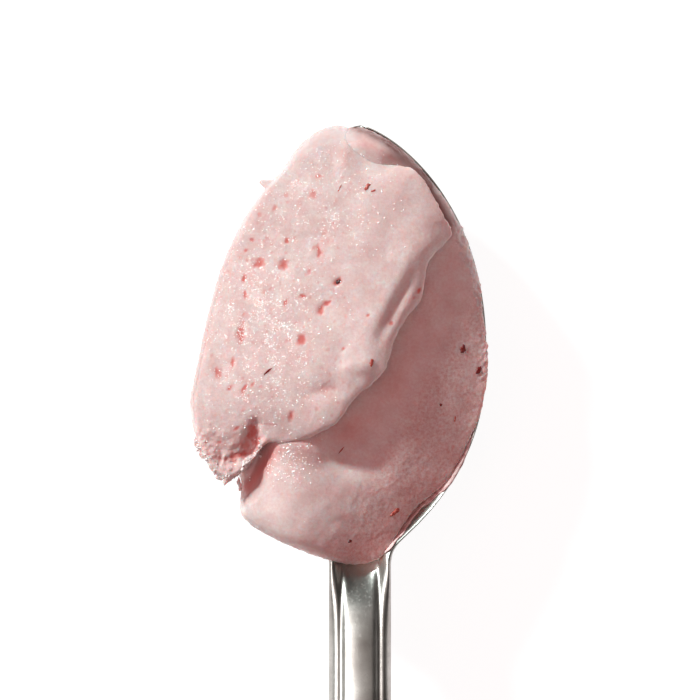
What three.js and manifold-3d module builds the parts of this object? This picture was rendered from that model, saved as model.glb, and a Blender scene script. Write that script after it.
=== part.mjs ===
// A heaped spoonful of strawberry sherbet.
//
// Two solids share one frame: a metal spoon that lies bowl up, and the
// sherbet that fills and overhangs its bowl.  Lengths are millimetres and +Z
// is up.  The origin is the middle of the flat spot under the bowl, the tip of
// the bowl points to +Y and the handle runs to -Y.

import * as THREE from "three";
import { mergeVertices } from "three/addons/utils/BufferGeometryUtils.js";
import Module from "manifold-3d";

const { clamp, lerp, smoothstep } = THREE.MathUtils;

// ---------------------------------------------------------------------------
// Driving dimensions of the spoon

const BOWL_HALF_WIDTH = 20.64;      // at the widest point, over the origin
const BOWL_FRONT = 37.5;            // origin to the tip of the bowl
const BOWL_REAR = 33.8;             // origin to where the bowl runs into the neck
const FRONT_POWER = [2.25, 0.7];    // the front half of the plan: (1 - s^a)^b
const REAR_POWER = [2.27, 0.8];     // the rear half of the plan
const SECTION_POWER = 2.3;          // across the bowl: keel + depth * |u|^power
const SHEET = 1.8;                  // sheet thickness of the bowl

const NECK_HALF_WIDTH = 4.85;
const NECK_THICKNESS = 4.8;
const NECK_BLEND = 2;               // how softly the bowl's sides run into the neck
const NECK_ZONE = [17, 30];         // behind the origin, where that blend comes in
const SHAFT_THICKNESS = 4.0;
const END_THICKNESS = 2.6;
const SHAFT_END = -75;              // where the handle starts to widen
const PADDLE_START = -150;          // where the handle is widest
const PADDLE_HALF_WIDTH = 10.5;
const HANDLE_END = -167.5;

const FLUTE_START = -36;            // the two grooves along the handle
const FLUTE_OFFSET = 2.95;          // from the centre line to a groove
const FLUTE_WIDTH = 0.55;
const FLUTE_DEPTH = 0.4;

// Middle of the sheet along the spoon: [y, height at the keel, height at the rim].
const PROFILE = [
  [37.5, 12.0, 12.3],
  [30, 6.1, 12.2],
  [20, 2.1, 12.1],
  [8, 0.55, 12.1],
  [-8, 0.55, 12.3],
  [-18, 2.5, 13.0],
  [-27, 6.6, 14.1],
  [-34, 11.0, 14.9],
  [-42, 14.9, 15.6],
  [-60, 17.3, 17.3],
  [-90, 15.0, 15.0],
  [-130, 7.3, 7.3],
  [-158, 1.6, 1.6],
  [-167.5, 1.0, 1.0],
];

const SPOON_AROUND = 28;            // faces round the spoon's section
const SPOON_STATIONS = 56;          // sections from the tip to the handle's end

// ---------------------------------------------------------------------------
// Driving dimensions of the sherbet

const CLEARANCE = 0.3;              // between the sherbet and the metal
const OVERHANG_RISE = 0.35;         // how the underside climbs outside the rim
const RIM_LIFT = 1.6;               // how far the underside clears the rim itself
const RIM_ZONE = [0.86, 0.95];      // the part of the half width over which it lifts

// Each mass is one lump about a centre.  The scoop's outline is [x, y, height of
// its edge], and the slab's is [x, y, how far its edge lies below its top].
const SCOOP = {
  centre: [0.3, -2.8],
  peak: 20.4,
  outline: [
    [-1.3, 37.1, 13.9], [5.7, 34.3, 13.9], [11.7, 28.3, 13.8],
    [16.8, 20.3, 13.6], [19.3, 12.6, 13.5], [20.1, 6.6, 13.4],
    [21.0, 0.4, 13.6], [20.5, -6.6, 13.3], [18.4, -12.7, 13.2],
    [14.2, -20.5, 13.4], [9.1, -24.9, 14.0], [6.0, -29.3, 14.9],
    [3.2, -33.1, 15.4], [-2.0, -34.0, 15.6], [-8.6, -32.2, 15.8],
    [-15.6, -29.0, 15.5], [-19.3, -25.9, 15.2], [-19.4, -20.6, 14.8],
    [-22.1, -13.5, 14.6], [-23.9, -3.2, 14.6], [-21.6, 8.6, 14.5],
    [-16.4, 22.0, 14.2], [-9.4, 32.2, 13.9],
  ],
};
const SLAB = {
  centre: [-6, 10],
  peak: 24.4,
  outline: [
    [-2.4, 37.2, 6.0], [0.3, 33.8, 4.0], [2.3, 31.7, 3.0],
    [5.4, 30.8, 2.0], [8.6, 30.2, 1.4], [11.5, 26.5, 1.1],
    [13.4, 22.9, 1.0], [15.0, 19.7, 1.0], [12.9, 17.2, 1.0],
    [11.1, 15.0, 1.0], [10.0, 9.4, 1.0], [7.0, 5.2, 1.0],
    [5.4, 2.0, 1.0], [4.7, -0.7, 1.0], [3.7, -2.9, 1.0],
    [-1.2, -7.4, 1.0], [-3.7, -10.9, 1.0], [-8.1, -13.3, 1.0],
    [-11.6, -14.4, 1.0], [-15.0, -14.2, 1.2], [-16.3, -15.6, 2.4],
    [-17.3, -17.3, 3.4], [-19.6, -19.4, 4.0], [-21.8, -20.3, 4.2],
    [-24.3, -18.3, 4.0], [-26.5, -13.8, 4.8], [-27.5, -8.1, 5.8],
    [-26.5, -2.4, 6.4], [-24.6, 6.5, 6.6], [-22.8, 13.0, 6.6],
    [-19.6, 20.6, 6.6], [-15.9, 26.3, 6.5], [-12.4, 30.5, 6.4],
    [-9.2, 34.6, 6.3], [-5.6, 36.9, 6.3],
  ],
};

// How far the slab's top falls: for each millimetre towards the tip, and then
// [fall, over this length], slowly at first, on the other three sides.
const SLAB_FALL_TO_TIP = 0.09;
const SLAB_TIP_ROUNDING = 6;
const SLAB_FALL_TO_NECK = [0.9, 14];
const SLAB_FALL_TO_LEFT = [0.8, 16];
const SLAB_FALL_TO_RIGHT = [1.2, 10];
const SLAB_LEFT_SHOULDER = -8;      // where the falls to the left and right start
const SLAB_RIGHT_SHOULDER = 1;
const SLAB_CRISP = [50, 9];         // how squarely its left wall and right edge are turned
const LIP_SIDE = [-0.5, 0.1];       // cosine of the directions over which the lip starts
const LIP_HALF = 1.35;              // half the thickness of the overhanging lip
const LIP_CRISP = 8;
const LIP_REACH = [0.66, 0.86];     // the part of the radius where the lip starts
const SLAB_ROOT = 6.5;              // how deep the slab runs into the scoop

// The scoop's top falls from a ridge along Y, and flatter flanks cut it on the
// right: [turn from +X in degrees, where it starts, fall for each millimetre].
const SCOOP_RIDGE = -11.7;
const SCOOP_FALLS = [0.2, 0.1];     // for each millimetre to the left and right of the ridge
const SCOOP_RIDGE_ROUNDING = 3;
const SCOOP_FLANKS = [[-8, 8, 0.5], [-30, 9.8, 0.47]];
const SCOOP_FLANK_ROUNDING = 2;
const SCOOP_FOOT = 0.2;             // the least the top stands over the edge
const SCOOP_FOOT_ROUNDING = 0.8;
const SCOOP_CRISP = 26;
const UNDERSIDE_CRISP = 14;

// Raised and sunken places on the slab: [from, to, width, height].
const SLAB_RELIEF = [
  [[11.8, 12.6], [6.4, 0.4], 2.5, -1.4],       // the lip, a step below the rest
  [[8.4, 12.6], [3.4, 3.2], 1.1, -0.6],        // the furrow at the foot of that step
  [[-1.6, -0.9], [1.6, -0.6], 1.8, 0.75],      // the knob at the furrow's end
  [[3.6, 1.2], [2.2, -4.2], 1.6, -0.6],        // the fall of the lip beyond the knob
  [[-8.0, -6.2], [-4.2, -5.4], 1.6, -0.28],    // a dent before the front edge
  [[-16.0, -13.8], [-9.6, -14.2], 3.6, -1.0],  // the front edge settles on the scoop
  [[6.7, 22.8], [4.1, 16.7], 2.6, -0.3],       // the shallow hollow near the corner
  [[16.0, 22.0], [13.0, 15.4], 1.9, -1.2],     // the corner beyond it droops
  [[-4.2, 36.0], [-1.6, 30.5], 1.6, 0.35],     // the pale ridge near the tip
  [[2.4, 33.4], [8.0, 31.4], 1.6, -0.5],       // the hollow beside that ridge
  [[-16.8, -12.4], [-18.0, -16.8], 1.9, -1.7], // the notch behind the front edge
  [[-18.4, -15.4], [-23.2, -18.6], 3.2, -1.6], // the torn end, broken off lower
];
// The same for the scoop under it.
const SCOOP_RELIEF = [
  [[-12.6, -9.0], [-8.6, -26.0], 7.2, 1.3],    // the swelling that the front edge rests on
  [[-3.4, -15.8], [3.5, -16.8], 3.0, -1.1],    // the hollow under that edge
  [[-15.4, -13.0], [-18.2, -21.0], 1.5, -1.6], // the groove beside the torn end
];
const END_SHARE = 0.6;              // how far a place reaches past its ends, against its width
const SWELL = 0.05;                 // slow waviness of the slab
const SWELL_LENGTH = [11, 13];
const SWELL_DRIFT = [31, 27];

// Angular chips that stand out at the torn end: [x, y, z, size x, y, z, turn].
const TORN_CHIPS = [
  [-20.5, -18.2, 19.3, 2.3, 3.2, 1.7, -0.35],
  [-23.6, -16.4, 18.9, 2.8, 2.2, 1.9, 1.1],
  [-25.1, -13.2, 18.9, 2.0, 3.0, 2.1, 0.2],
  [-18.2, -16.6, 19.5, 2.2, 1.7, 1.8, 0.7],
  [-19.4, -19.0, 16.9, 1.7, 2.2, 1.8, 0.3],
  [-22.4, -18.0, 17.2, 2.3, 2.5, 1.9, 0.6],
];
const CHIP_ROUGHNESS = 0.25;        // how far a chip's corners stand in or out

const SCOOP_FACES = [60, 30];       // round, and from pole to pole
const SLAB_FACES = [96, 40];
const EVEN_RINGS = 0.4;             // 0 crowds the rings at the edge, 1 spaces them evenly

// ---------------------------------------------------------------------------
// Small helpers

/** A height read off a smooth curve through [position, height] points. */
function heightCurve(points) {
  const curve = new THREE.SplineCurve(points.map(([at, z]) => new THREE.Vector2(at, z)));
  const samples = curve.getPoints(points.length * 24).sort((a, b) => a.x - b.x);
  return (at) => {
    const place = clamp(at, samples[0].x, samples[samples.length - 1].x);
    let next = 1;
    while (next < samples.length - 1 && samples[next].x < place) next += 1;
    const [a, b] = [samples[next - 1], samples[next]];
    return lerp(a.y, b.y, (place - a.x) / Math.max(b.x - a.x, 1e-9));
  };
}

/** The larger of two values, with the corner between them rounded. */
function softMax(a, b, round) {
  return 0.5 * (a + b + Math.sqrt((a - b) ** 2 + round ** 2));
}

/** The smaller of two values, with the corner between them rounded. */
function softMin(a, b, round) {
  return 0.5 * (a + b - Math.sqrt((a - b) ** 2 + round ** 2));
}

/** 1 at the middle of a raised or sunken place, tapering off along it and across it. */
function nearLine(x, y, [fromX, fromY], [toX, toY], width) {
  const half = Math.hypot(toX - fromX, toY - fromY) / 2;
  const [wayX, wayY] = [(toX - fromX) / (2 * half), (toY - fromY) / (2 * half)];
  const [offX, offY] = [x - (fromX + toX) / 2, y - (fromY + toY) / 2];
  const along = (offX * wayX + offY * wayY) / (half + END_SHARE * width);
  const across = (offY * wayX - offX * wayY) / width;
  return Math.exp(-(along ** 4) - across ** 2);
}

/** The sum of a list of raised and sunken places at one point. */
function reliefAt(relief, x, y) {
  return relief.reduce((sum, [from, to, width, rise]) => sum + rise * nearLine(x, y, from, to, width), 0);
}

/** A quarter round that runs from 1 in the middle to 0 at the edge, squarer for a higher power. */
function dome(out, power) {
  return Math.sqrt(Math.max(0, 1 - Math.min(out, 1) ** power));
}

/** Moves each vertex of a unit sphere, seams kept closed, and drops what only shades. */
function reshapeSphere([around, along], place) {
  const sphere = new THREE.SphereGeometry(1, around, along);
  sphere.rotateX(Math.PI / 2);
  sphere.deleteAttribute("normal");
  sphere.deleteAttribute("uv");
  const geometry = mergeVertices(sphere, 1e-5);
  const position = geometry.getAttribute("position");
  for (let i = 0; i < position.count; i += 1) {
    position.setXYZ(i, ...place(position.getX(i), position.getY(i), position.getZ(i)));
  }
  return geometry;
}

// ---------------------------------------------------------------------------
// The spoon

const keelHeight = heightCurve(PROFILE.map(([y, keel]) => [y, keel]));
const rimHeight = heightCurve(PROFILE.map(([y, , rim]) => [y, rim]));

/** Half the width of the bowl alone, at a place along the spoon. */
function bowlHalfWidth(y) {
  const [reach, [inner, outer]] = y > 0 ? [BOWL_FRONT, FRONT_POWER] : [BOWL_REAR, REAR_POWER];
  return BOWL_HALF_WIDTH * Math.max(0, 1 - (Math.abs(y) / reach) ** inner) ** outer;
}

/** Half the width of the handle alone. */
function handleHalfWidth(y) {
  const widening = smoothstep(-y, -SHAFT_END, -PADDLE_START);
  const full = lerp(NECK_HALF_WIDTH, PADDLE_HALF_WIDTH, widening);
  const past = clamp((PADDLE_START - y) / (PADDLE_START - HANDLE_END), 0, 1);
  return full * Math.sqrt(1 - past ** 2.4);
}

/** Half the width of the whole spoon. */
function spoonHalfWidth(y) {
  if (y > -BOWL_REAR / 2) return bowlHalfWidth(y);
  return softMax(bowlHalfWidth(y), handleHalfWidth(y), NECK_BLEND * smoothstep(-y, ...NECK_ZONE));
}

/** Height of the middle of the sheet. */
function sheetHeight(x, y) {
  const keel = keelHeight(y);
  const across = Math.abs(x) / Math.max(spoonHalfWidth(y), 0.4);
  return keel + (rimHeight(y) - keel) * Math.min(across, 1.15) ** SECTION_POWER;
}

/** Thickness of the metal along the spoon. */
function metalThickness(y) {
  const neck = lerp(SHEET, NECK_THICKNESS, smoothstep(-y, 22, 41));
  const shaft = lerp(neck, SHAFT_THICKNESS, smoothstep(-y, 41, 75));
  return lerp(shaft, END_THICKNESS, smoothstep(-y, 80, 165));
}

/** Depth of the two grooves on top of the handle. */
function fluteDepth(x, y) {
  const offset = FLUTE_OFFSET * spoonHalfWidth(y) / NECK_HALF_WIDTH;
  const groove = Math.exp(-(((Math.abs(x) - offset) / FLUTE_WIDTH) ** 2));
  return FLUTE_DEPTH * groove * smoothstep(-y, -FLUTE_START, 6 - FLUTE_START) *
    (1 - smoothstep(-y, 148, 158));
}

/** Place of a section along the spoon: closer together at the tip and in the bowl. */
function stationAt(fraction) {
  const bowlShare = 0.6;
  if (fraction < bowlShare) {
    const part = fraction / bowlShare;
    const eased = lerp(part, 1 - Math.cos(part * Math.PI / 2), 0.3);
    return BOWL_FRONT - (BOWL_FRONT + BOWL_REAR + 8) * eased;
  }
  const part = (fraction - bowlShare) / (1 - bowlShare);
  const eased = part - 0.75 * Math.sin(2 * Math.PI * part) / (2 * Math.PI);
  return lerp(-BOWL_REAR - 8, HANDLE_END, eased);
}

/** The spoon, or the same spoon grown by a clearance all round. */
function spoonGeometry(grow) {
  return reshapeSphere([SPOON_AROUND, SPOON_STATIONS], (cx, cy, cz) => {
    const fraction = Math.acos(clamp(cz, -1, 1)) / Math.PI;
    const radius = Math.max(Math.hypot(cx, cy), 1e-9);
    const [across, side] = radius < 1e-6 ? [0, 0] : [-cx / radius, Math.sign(cy) * (Math.abs(cy) > 1e-6)];
    const stretch = 1 + grow / 40;
    const y = stationAt(fraction) * (fraction < 0.5 ? stretch : 1);
    const flatY = clamp(y, HANDLE_END, BOWL_FRONT);
    const ends = Math.sin(fraction * Math.PI) > 1e-6 ? 1 : 0;
    const x = across * ends * (spoonHalfWidth(flatY) + grow);
    const step = 0.2;
    const slope = Math.hypot(
      (sheetHeight(x + step, flatY) - sheetHeight(x - step, flatY)) / (2 * step),
      (sheetHeight(x, flatY + step) - sheetHeight(x, flatY - step)) / (2 * step),
    );
    const half = (metalThickness(flatY) / 2 + grow) * Math.sqrt(1 + Math.min(slope, 1.6) ** 2);
    const rounding = Math.sqrt(Math.max(0, 1 - Math.abs(across) ** 8)) * ends;
    const flute = side > 0 ? fluteDepth(x, flatY) : 0;
    const z = sheetHeight(x, flatY) + side * half * rounding - flute;
    return [x, y, Math.max(z, -grow)];
  });
}

// ---------------------------------------------------------------------------
// The sherbet

/** A plan outline as a radius and its third value for each direction from its centre. */
function polarOutline({ centre, outline }) {
  const loop = new THREE.CatmullRomCurve3(
    outline.map((point) => new THREE.Vector3(...point)), true, "centripetal",
  );
  const samples = loop.getPoints(outline.length * 16).map((point) => ({
    turn: Math.atan2(point.y - centre[1], point.x - centre[0]),
    radius: Math.hypot(point.x - centre[0], point.y - centre[1]),
    edge: point.z,
  })).sort((a, b) => a.turn - b.turn);
  const [first, last] = [samples[0], samples[samples.length - 1]];
  samples.unshift({ ...last, turn: last.turn - 2 * Math.PI });
  samples.push({ ...first, turn: first.turn + 2 * Math.PI });
  return (turn) => {
    let next = 1;
    while (next < samples.length - 1 && samples[next].turn < turn) next += 1;
    const [a, b] = [samples[next - 1], samples[next]];
    const part = clamp((turn - a.turn) / Math.max(b.turn - a.turn, 1e-9), 0, 1);
    return [lerp(a.radius, b.radius, part), lerp(a.edge, b.edge, part)];
  };
}

/** One mass of sherbet between a top and an underside that meet at its outline. */
function massGeometry(mass, faces, edgeAt, top, underside) {
  const outlineAt = polarOutline(mass);
  return reshapeSphere(faces, (cx, cy, cz) => {
    const turn = Math.atan2(cy, cx);
    const [radius, level] = outlineAt(turn);
    const [wayX, wayY] = [Math.cos(turn), Math.sin(turn)];
    const edge = edgeAt(mass.centre[0] + radius * wayX, mass.centre[1] + radius * wayY, level);
    const ring = Math.min(Math.hypot(cx, cy), 1);
    const out = lerp(ring, Math.asin(ring) * 2 / Math.PI, EVEN_RINGS);
    const x = mass.centre[0] + out * radius * wayX;
    const y = mass.centre[1] + out * radius * wayY;
    const above = Math.abs(cz) < 1e-6 ? 0 : Math.sign(cz);
    if (above === 0) return [x, y, edge];
    return [x, y, (above > 0 ? top : underside)(x, y, out, turn, edge)];
  });
}

/** Slow waviness that keeps broad faces from looking machined. */
function swellAt(x, y) {
  const [lengthX, lengthY] = SWELL_LENGTH;
  const [driftY, driftX] = SWELL_DRIFT;
  const wave = Math.sin(2 * Math.PI * (x / lengthX + y / driftY));
  return SWELL * (wave + Math.sin(2 * Math.PI * (y / lengthY - x / driftX)));
}

/** The scoop's top before it is rounded down to its outline. */
function scoopSurface(x, y) {
  const [left, right] = SCOOP_FALLS;
  const off = x - SCOOP_RIDGE;
  const ridge = Math.hypot(off, SCOOP_RIDGE_ROUNDING) - SCOOP_RIDGE_ROUNDING;
  const cap = SCOOP.peak - (left + right) / 2 * ridge - (right - left) / 2 * off;
  const height = SCOOP_FLANKS.reduce((lowest, [degrees, start, fall]) => {
    const turn = degrees * Math.PI / 180;
    const flank = SCOOP.peak - fall * (x * Math.cos(turn) + y * Math.sin(turn) - start);
    return softMin(lowest, flank, SCOOP_FLANK_ROUNDING);
  }, cap);
  return height + reliefAt(SCOOP_RELIEF, x, y);
}

/** Top of the scoop: plane flanks on the right and a round end on the left. */
function scoopTop(x, y, out, turn, edge) {
  const rise = softMax(scoopSurface(x, y) - edge, SCOOP_FOOT, SCOOP_FOOT_ROUNDING);
  return edge + rise * dome(out, SCOOP_CRISP);
}

/** Underside of the scoop: inside the metal over the bowl, climbing outside its rim. */
function scoopUnderside(x, y, out, turn, edge) {
  const halfWidth = Math.max(spoonHalfWidth(y), 0.4);
  const outside = Math.max(0, Math.abs(x) - halfWidth);
  const lift = RIM_LIFT * smoothstep(Math.abs(x) / halfWidth, ...RIM_ZONE);
  const bed = sheetHeight(x, y) + lift + OVERHANG_RISE * outside;
  return edge - (edge - Math.min(bed, edge - 0.1)) * dome(out, UNDERSIDE_CRISP);
}

/** The slab's top before it is rounded down to its outline. */
function slabSurface(x, y) {
  const fall = SLAB_FALL_TO_TIP * softMax(y, 0, SLAB_TIP_ROUNDING) +
    SLAB_FALL_TO_NECK[0] * (Math.min(0, y) / SLAB_FALL_TO_NECK[1]) ** 2 +
    SLAB_FALL_TO_LEFT[0] * (Math.min(0, x - SLAB_LEFT_SHOULDER) / SLAB_FALL_TO_LEFT[1]) ** 2 +
    SLAB_FALL_TO_RIGHT[0] * (Math.max(0, x - SLAB_RIGHT_SHOULDER) / SLAB_FALL_TO_RIGHT[1]) ** 2;
  return SLAB.peak - fall + reliefAt(SLAB_RELIEF, x, y) + swellAt(x, y);
}

/** Height of the slab's edge, which its outline gives as a drop below its top. */
function slabEdge(x, y, drop) {
  return slabSurface(x, y) - drop;
}

/** Top of the slab that lies on the scoop. */
function slabTop(x, y, out, turn, edge) {
  const right = smoothstep(Math.cos(turn), ...LIP_SIDE);
  const [left, other] = SLAB_CRISP;
  return lerp(edge, slabSurface(x, y), dome(out, lerp(left, other, right)));
}

/** Underside of the slab: a thin overhanging lip on the right, a full wall on the left. */
function slabUnderside(x, y, out, turn, edge) {
  const right = smoothstep(Math.cos(turn), ...LIP_SIDE);
  const root = SLAB_ROOT * (1 - smoothstep(out, ...LIP_REACH));
  const lip = edge - LIP_HALF * dome(out, LIP_CRISP) - root;
  const deep = scoopUnderside(x, y, out, turn, edge);
  return Math.max(lerp(deep, lip, right), deep);
}

/** A chip that stands out of the torn end. */
function chipGeometry([x, y, z, sizeX, sizeY, sizeZ, turn]) {
  const chip = new THREE.IcosahedronGeometry(1, 0);
  chip.deleteAttribute("normal");
  chip.deleteAttribute("uv");
  const geometry = mergeVertices(chip, 1e-5);
  const position = geometry.getAttribute("position");
  for (let i = 0; i < position.count; i += 1) {
    const reach = 1 + CHIP_ROUGHNESS * Math.sin(7 * i + 3 * x);
    position.setXYZ(i, position.getX(i) * reach, position.getY(i) * reach, position.getZ(i) * reach);
  }
  geometry.scale(sizeX, sizeY, sizeZ);
  geometry.rotateZ(turn);
  geometry.translate(x, y, z);
  return geometry;
}

// ---------------------------------------------------------------------------
// Joining and cutting

const wasm = await Module();
wasm.setup();

/** A closed geometry as a solid that can be joined and cut. */
function toSolid(geometry) {
  return new wasm.Manifold(new wasm.Mesh({
    numProp: 3,
    vertProperties: new Float32Array(geometry.getAttribute("position").array),
    triVerts: new Uint32Array(geometry.index.array),
  }));
}

/** A solid back as a geometry for a mesh. */
function toGeometry(solid) {
  const { vertProperties, triVerts } = solid.getMesh();
  const geometry = new THREE.BufferGeometry();
  geometry.setAttribute("position", new THREE.BufferAttribute(new Float32Array(vertProperties), 3));
  geometry.setIndex(new THREE.BufferAttribute(new Uint32Array(triVerts), 1));
  geometry.computeVertexNormals();
  return geometry;
}

/** The sherbet as one solid: its masses joined, and the metal's room cut out. */
function sherbetGeometry() {
  const scoopEdge = (x, y, height) => height;
  let sherbet = toSolid(massGeometry(SCOOP, SCOOP_FACES, scoopEdge, scoopTop, scoopUnderside));
  sherbet = sherbet.add(toSolid(massGeometry(SLAB, SLAB_FACES, slabEdge, slabTop, slabUnderside)));
  for (const chip of TORN_CHIPS) sherbet = sherbet.add(toSolid(chipGeometry(chip)));
  sherbet = sherbet.subtract(toSolid(spoonGeometry(CLEARANCE)));
  const pieces = sherbet.decompose().sort((a, b) => b.volume() - a.volume());
  return toGeometry(pieces[0]);
}

// ---------------------------------------------------------------------------
// The scene graph

const steel = new THREE.MeshStandardMaterial({ color: 0xb4aca6, roughness: 0.32, metalness: 1.0 });
const ice = new THREE.MeshStandardMaterial({ color: 0xe6cac7, roughness: 0.6, metalness: 0.0 });

const group = new THREE.Group();
const spoon = new THREE.Mesh(toGeometry(toSolid(spoonGeometry(0))), steel);
spoon.name = "spoon";
const sherbet = new THREE.Mesh(sherbetGeometry(), ice);
sherbet.name = "sherbet";
group.add(spoon, sherbet);

export default group;
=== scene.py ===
"""A heaped spoonful of strawberry sherbet, dressed for the camera.

The spoon lies bowl up on a pale table.  Its bowl holds a smooth scoop of
sherbet, a thick slab is pressed over the left of it, and the slab ends in a
crumbly tear.  Fruit specks, ice glints, crumbs and a thin melted film lie on
those.  Sizes are millimetres in the frame of the part: the middle of the flat
spot under the bowl is the origin, +Y points to the tip and +Z is up.
"""

import itertools
import logging
import math
import random
from abc import ABC, abstractmethod
from collections.abc import Callable
from dataclasses import dataclass
from enum import Enum

import bmesh
import bpy
import numpy as np
from bmesh.types import BMesh
from bpy.types import Material, Mesh, Node, NodeSocket, Object, World
from mathutils import Matrix, Vector, noise
from mathutils.bvhtree import BVHTree

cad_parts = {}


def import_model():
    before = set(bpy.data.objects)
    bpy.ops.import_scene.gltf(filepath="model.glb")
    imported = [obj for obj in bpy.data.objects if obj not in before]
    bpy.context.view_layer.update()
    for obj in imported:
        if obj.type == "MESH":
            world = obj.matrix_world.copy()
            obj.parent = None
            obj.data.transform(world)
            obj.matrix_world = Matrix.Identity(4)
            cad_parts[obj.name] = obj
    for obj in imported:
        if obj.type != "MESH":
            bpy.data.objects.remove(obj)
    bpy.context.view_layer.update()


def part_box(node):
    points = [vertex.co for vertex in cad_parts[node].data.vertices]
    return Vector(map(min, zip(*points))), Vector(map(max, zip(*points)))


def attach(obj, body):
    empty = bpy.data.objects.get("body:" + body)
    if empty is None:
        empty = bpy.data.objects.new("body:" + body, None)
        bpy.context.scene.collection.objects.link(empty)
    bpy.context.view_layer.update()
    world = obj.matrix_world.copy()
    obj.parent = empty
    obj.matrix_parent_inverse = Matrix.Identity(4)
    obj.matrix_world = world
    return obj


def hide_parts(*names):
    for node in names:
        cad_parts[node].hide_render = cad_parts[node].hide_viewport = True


Array = np.ndarray

log = logging.getLogger("sherbet")

MM = 0.001
PHOTO_SIZE = 700                 # pixels along each side of the photograph
PHOTO_PIXEL = 0.1625             # millimetres of the object under one pixel
PHOTO_ORIGIN = (360.0, 355.0)    # the pixel that lies over the frame's origin
TINY = 1e-9                      # keeps a length that something is divided by from being 0

LATTICE_STEPS = (73856093, 19349663, 83492791)  # large odd steps, one for each axis
LATTICE_SEED_STEP = 2654435
LATTICE_STIR = 1274126177
LATTICE_MASK = 0x3FFFFFFF
VALUE_BITS = 10                  # bits of a place's code that make one value
NOISE_SHIFT = 7.31               # how far apart two seeds read the same noise
NOISE_GAIN = 1.7
CELL_JITTER = 0.45


# ---------------------------------------------------------------------------
# Small helpers


def from_photo(px: float, py: float) -> tuple[float, float]:
    """Plan position, in millimetres, of a pixel of the photograph."""
    return (px - PHOTO_ORIGIN[0]) * PHOTO_PIXEL, (PHOTO_ORIGIN[1] - py) * PHOTO_PIXEL


def smoothstep(value: Array, low: float, high: float) -> Array:
    """0 below low, 1 above high, and smooth between them."""
    part = np.clip((np.asarray(value, float) - low) / (high - low), 0.0, 1.0)
    return part * part * (3.0 - 2.0 * part)


def lerp(a: Array, b: Array, part: Array) -> Array:
    """A value part of the way from a to b."""
    return a + (b - a) * part


def soft_min(a: Array, b: Array, rounding: float) -> Array:
    """The smaller of two values, with the corner between them rounded."""
    return 0.5 * (a + b - np.sqrt((a - b) ** 2 + rounding**2))


def soft_max(a: Array, b: Array, rounding: Array) -> Array:
    """The larger of two values, with the corner between them rounded."""
    return 0.5 * (a + b + np.sqrt((a - b) ** 2 + rounding**2))


def dome(out: Array, power: Array) -> Array:
    """1 at the middle of a mass and 0 at its outline, steeper with a larger power."""
    return np.sqrt(np.maximum(0.0, 1.0 - out**power))


def catmull_rom(points: Array, closed: bool, per_span: int = 16) -> Array:
    """Places along a smooth curve through some points.

    Args:
        points: The points, one a row.
        closed: Whether the curve returns to its first point.
        per_span: How many places to give between two points.

    Returns:
        The places, one a row, from the first point on.
    """
    points = np.asarray(points, float)
    count = len(points)
    spans = count if closed else count - 1
    t = np.linspace(0.0, 1.0, per_span, endpoint=False)[:, None]
    rows = []
    for i in range(spans):
        wanted = range(i - 1, i + 3)
        picks = [k % count if closed else min(max(k, 0), count - 1) for k in wanted]
        p0, p1, p2, p3 = points[picks]
        pairs = ((p0, p1), (p1, p2), (p2, p3))
        gaps = [max(np.linalg.norm(b - a), TINY) ** 0.5 for a, b in pairs]
        if not closed and i == 0:
            gaps[0] = gaps[1]
        if not closed and i == spans - 1:
            gaps[2] = gaps[1]
        d0, d1, d2 = gaps
        out_of = ((p1 - p0) / d0 - (p2 - p0) / (d0 + d1) + (p2 - p1) / d1) * d1
        into = ((p2 - p1) / d1 - (p3 - p1) / (d1 + d2) + (p3 - p2) / d2) * d1
        rows.append(
            p1 * (2 * t**3 - 3 * t**2 + 1)
            + out_of * (t**3 - 2 * t**2 + t)
            + p2 * (3 * t**2 - 2 * t**3)
            + into * (t**3 - t**2)
        )
    if not closed:
        rows.append(points[-1:])
    return np.concatenate(rows)


def lattice_values(corners: Array, seed: int) -> Array:
    """Three repeatable values from -1 to 1 for each whole-numbered place.

    Args:
        corners: Whole-numbered places, one a row.
        seed: Which set of values.

    Returns:
        Three columns of values.
    """
    steps = (corners * LATTICE_STEPS).T
    code = steps[0] ^ steps[1] ^ steps[2] ^ seed * LATTICE_SEED_STEP
    for _ in range(2):
        code = (code ^ (code >> 15)) * LATTICE_STIR & LATTICE_MASK
    code ^= code >> 13
    most = 2**VALUE_BITS - 1
    parts = [code >> (VALUE_BITS * i) & most for i in range(3)]
    return np.stack(parts, axis=1) / (most / 2) - 1


def noise_at(places: Array, size: float, seed: int) -> Array:
    """Smooth noise, mostly from -1 to 1, at each place.

    Args:
        places: Places in millimetres, one a row.
        size: Distance over which the noise changes, in millimetres.
        seed: Which noise it is.

    Returns:
        One value for each place.
    """
    scaled = places / size + seed * NOISE_SHIFT
    cell = np.floor(scaled).astype(np.int64)
    inside = scaled - cell
    ease = inside**3 * (inside * (inside * 6 - 15) + 10)
    total = np.zeros(len(places))
    for corner in itertools.product((0, 1), repeat=3):
        slope = (lattice_values(cell + corner, seed) * (inside - corner)).sum(axis=1)
        total += slope * np.where(corner, ease, 1 - ease).prod(axis=1)
    return total * NOISE_GAIN


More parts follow.
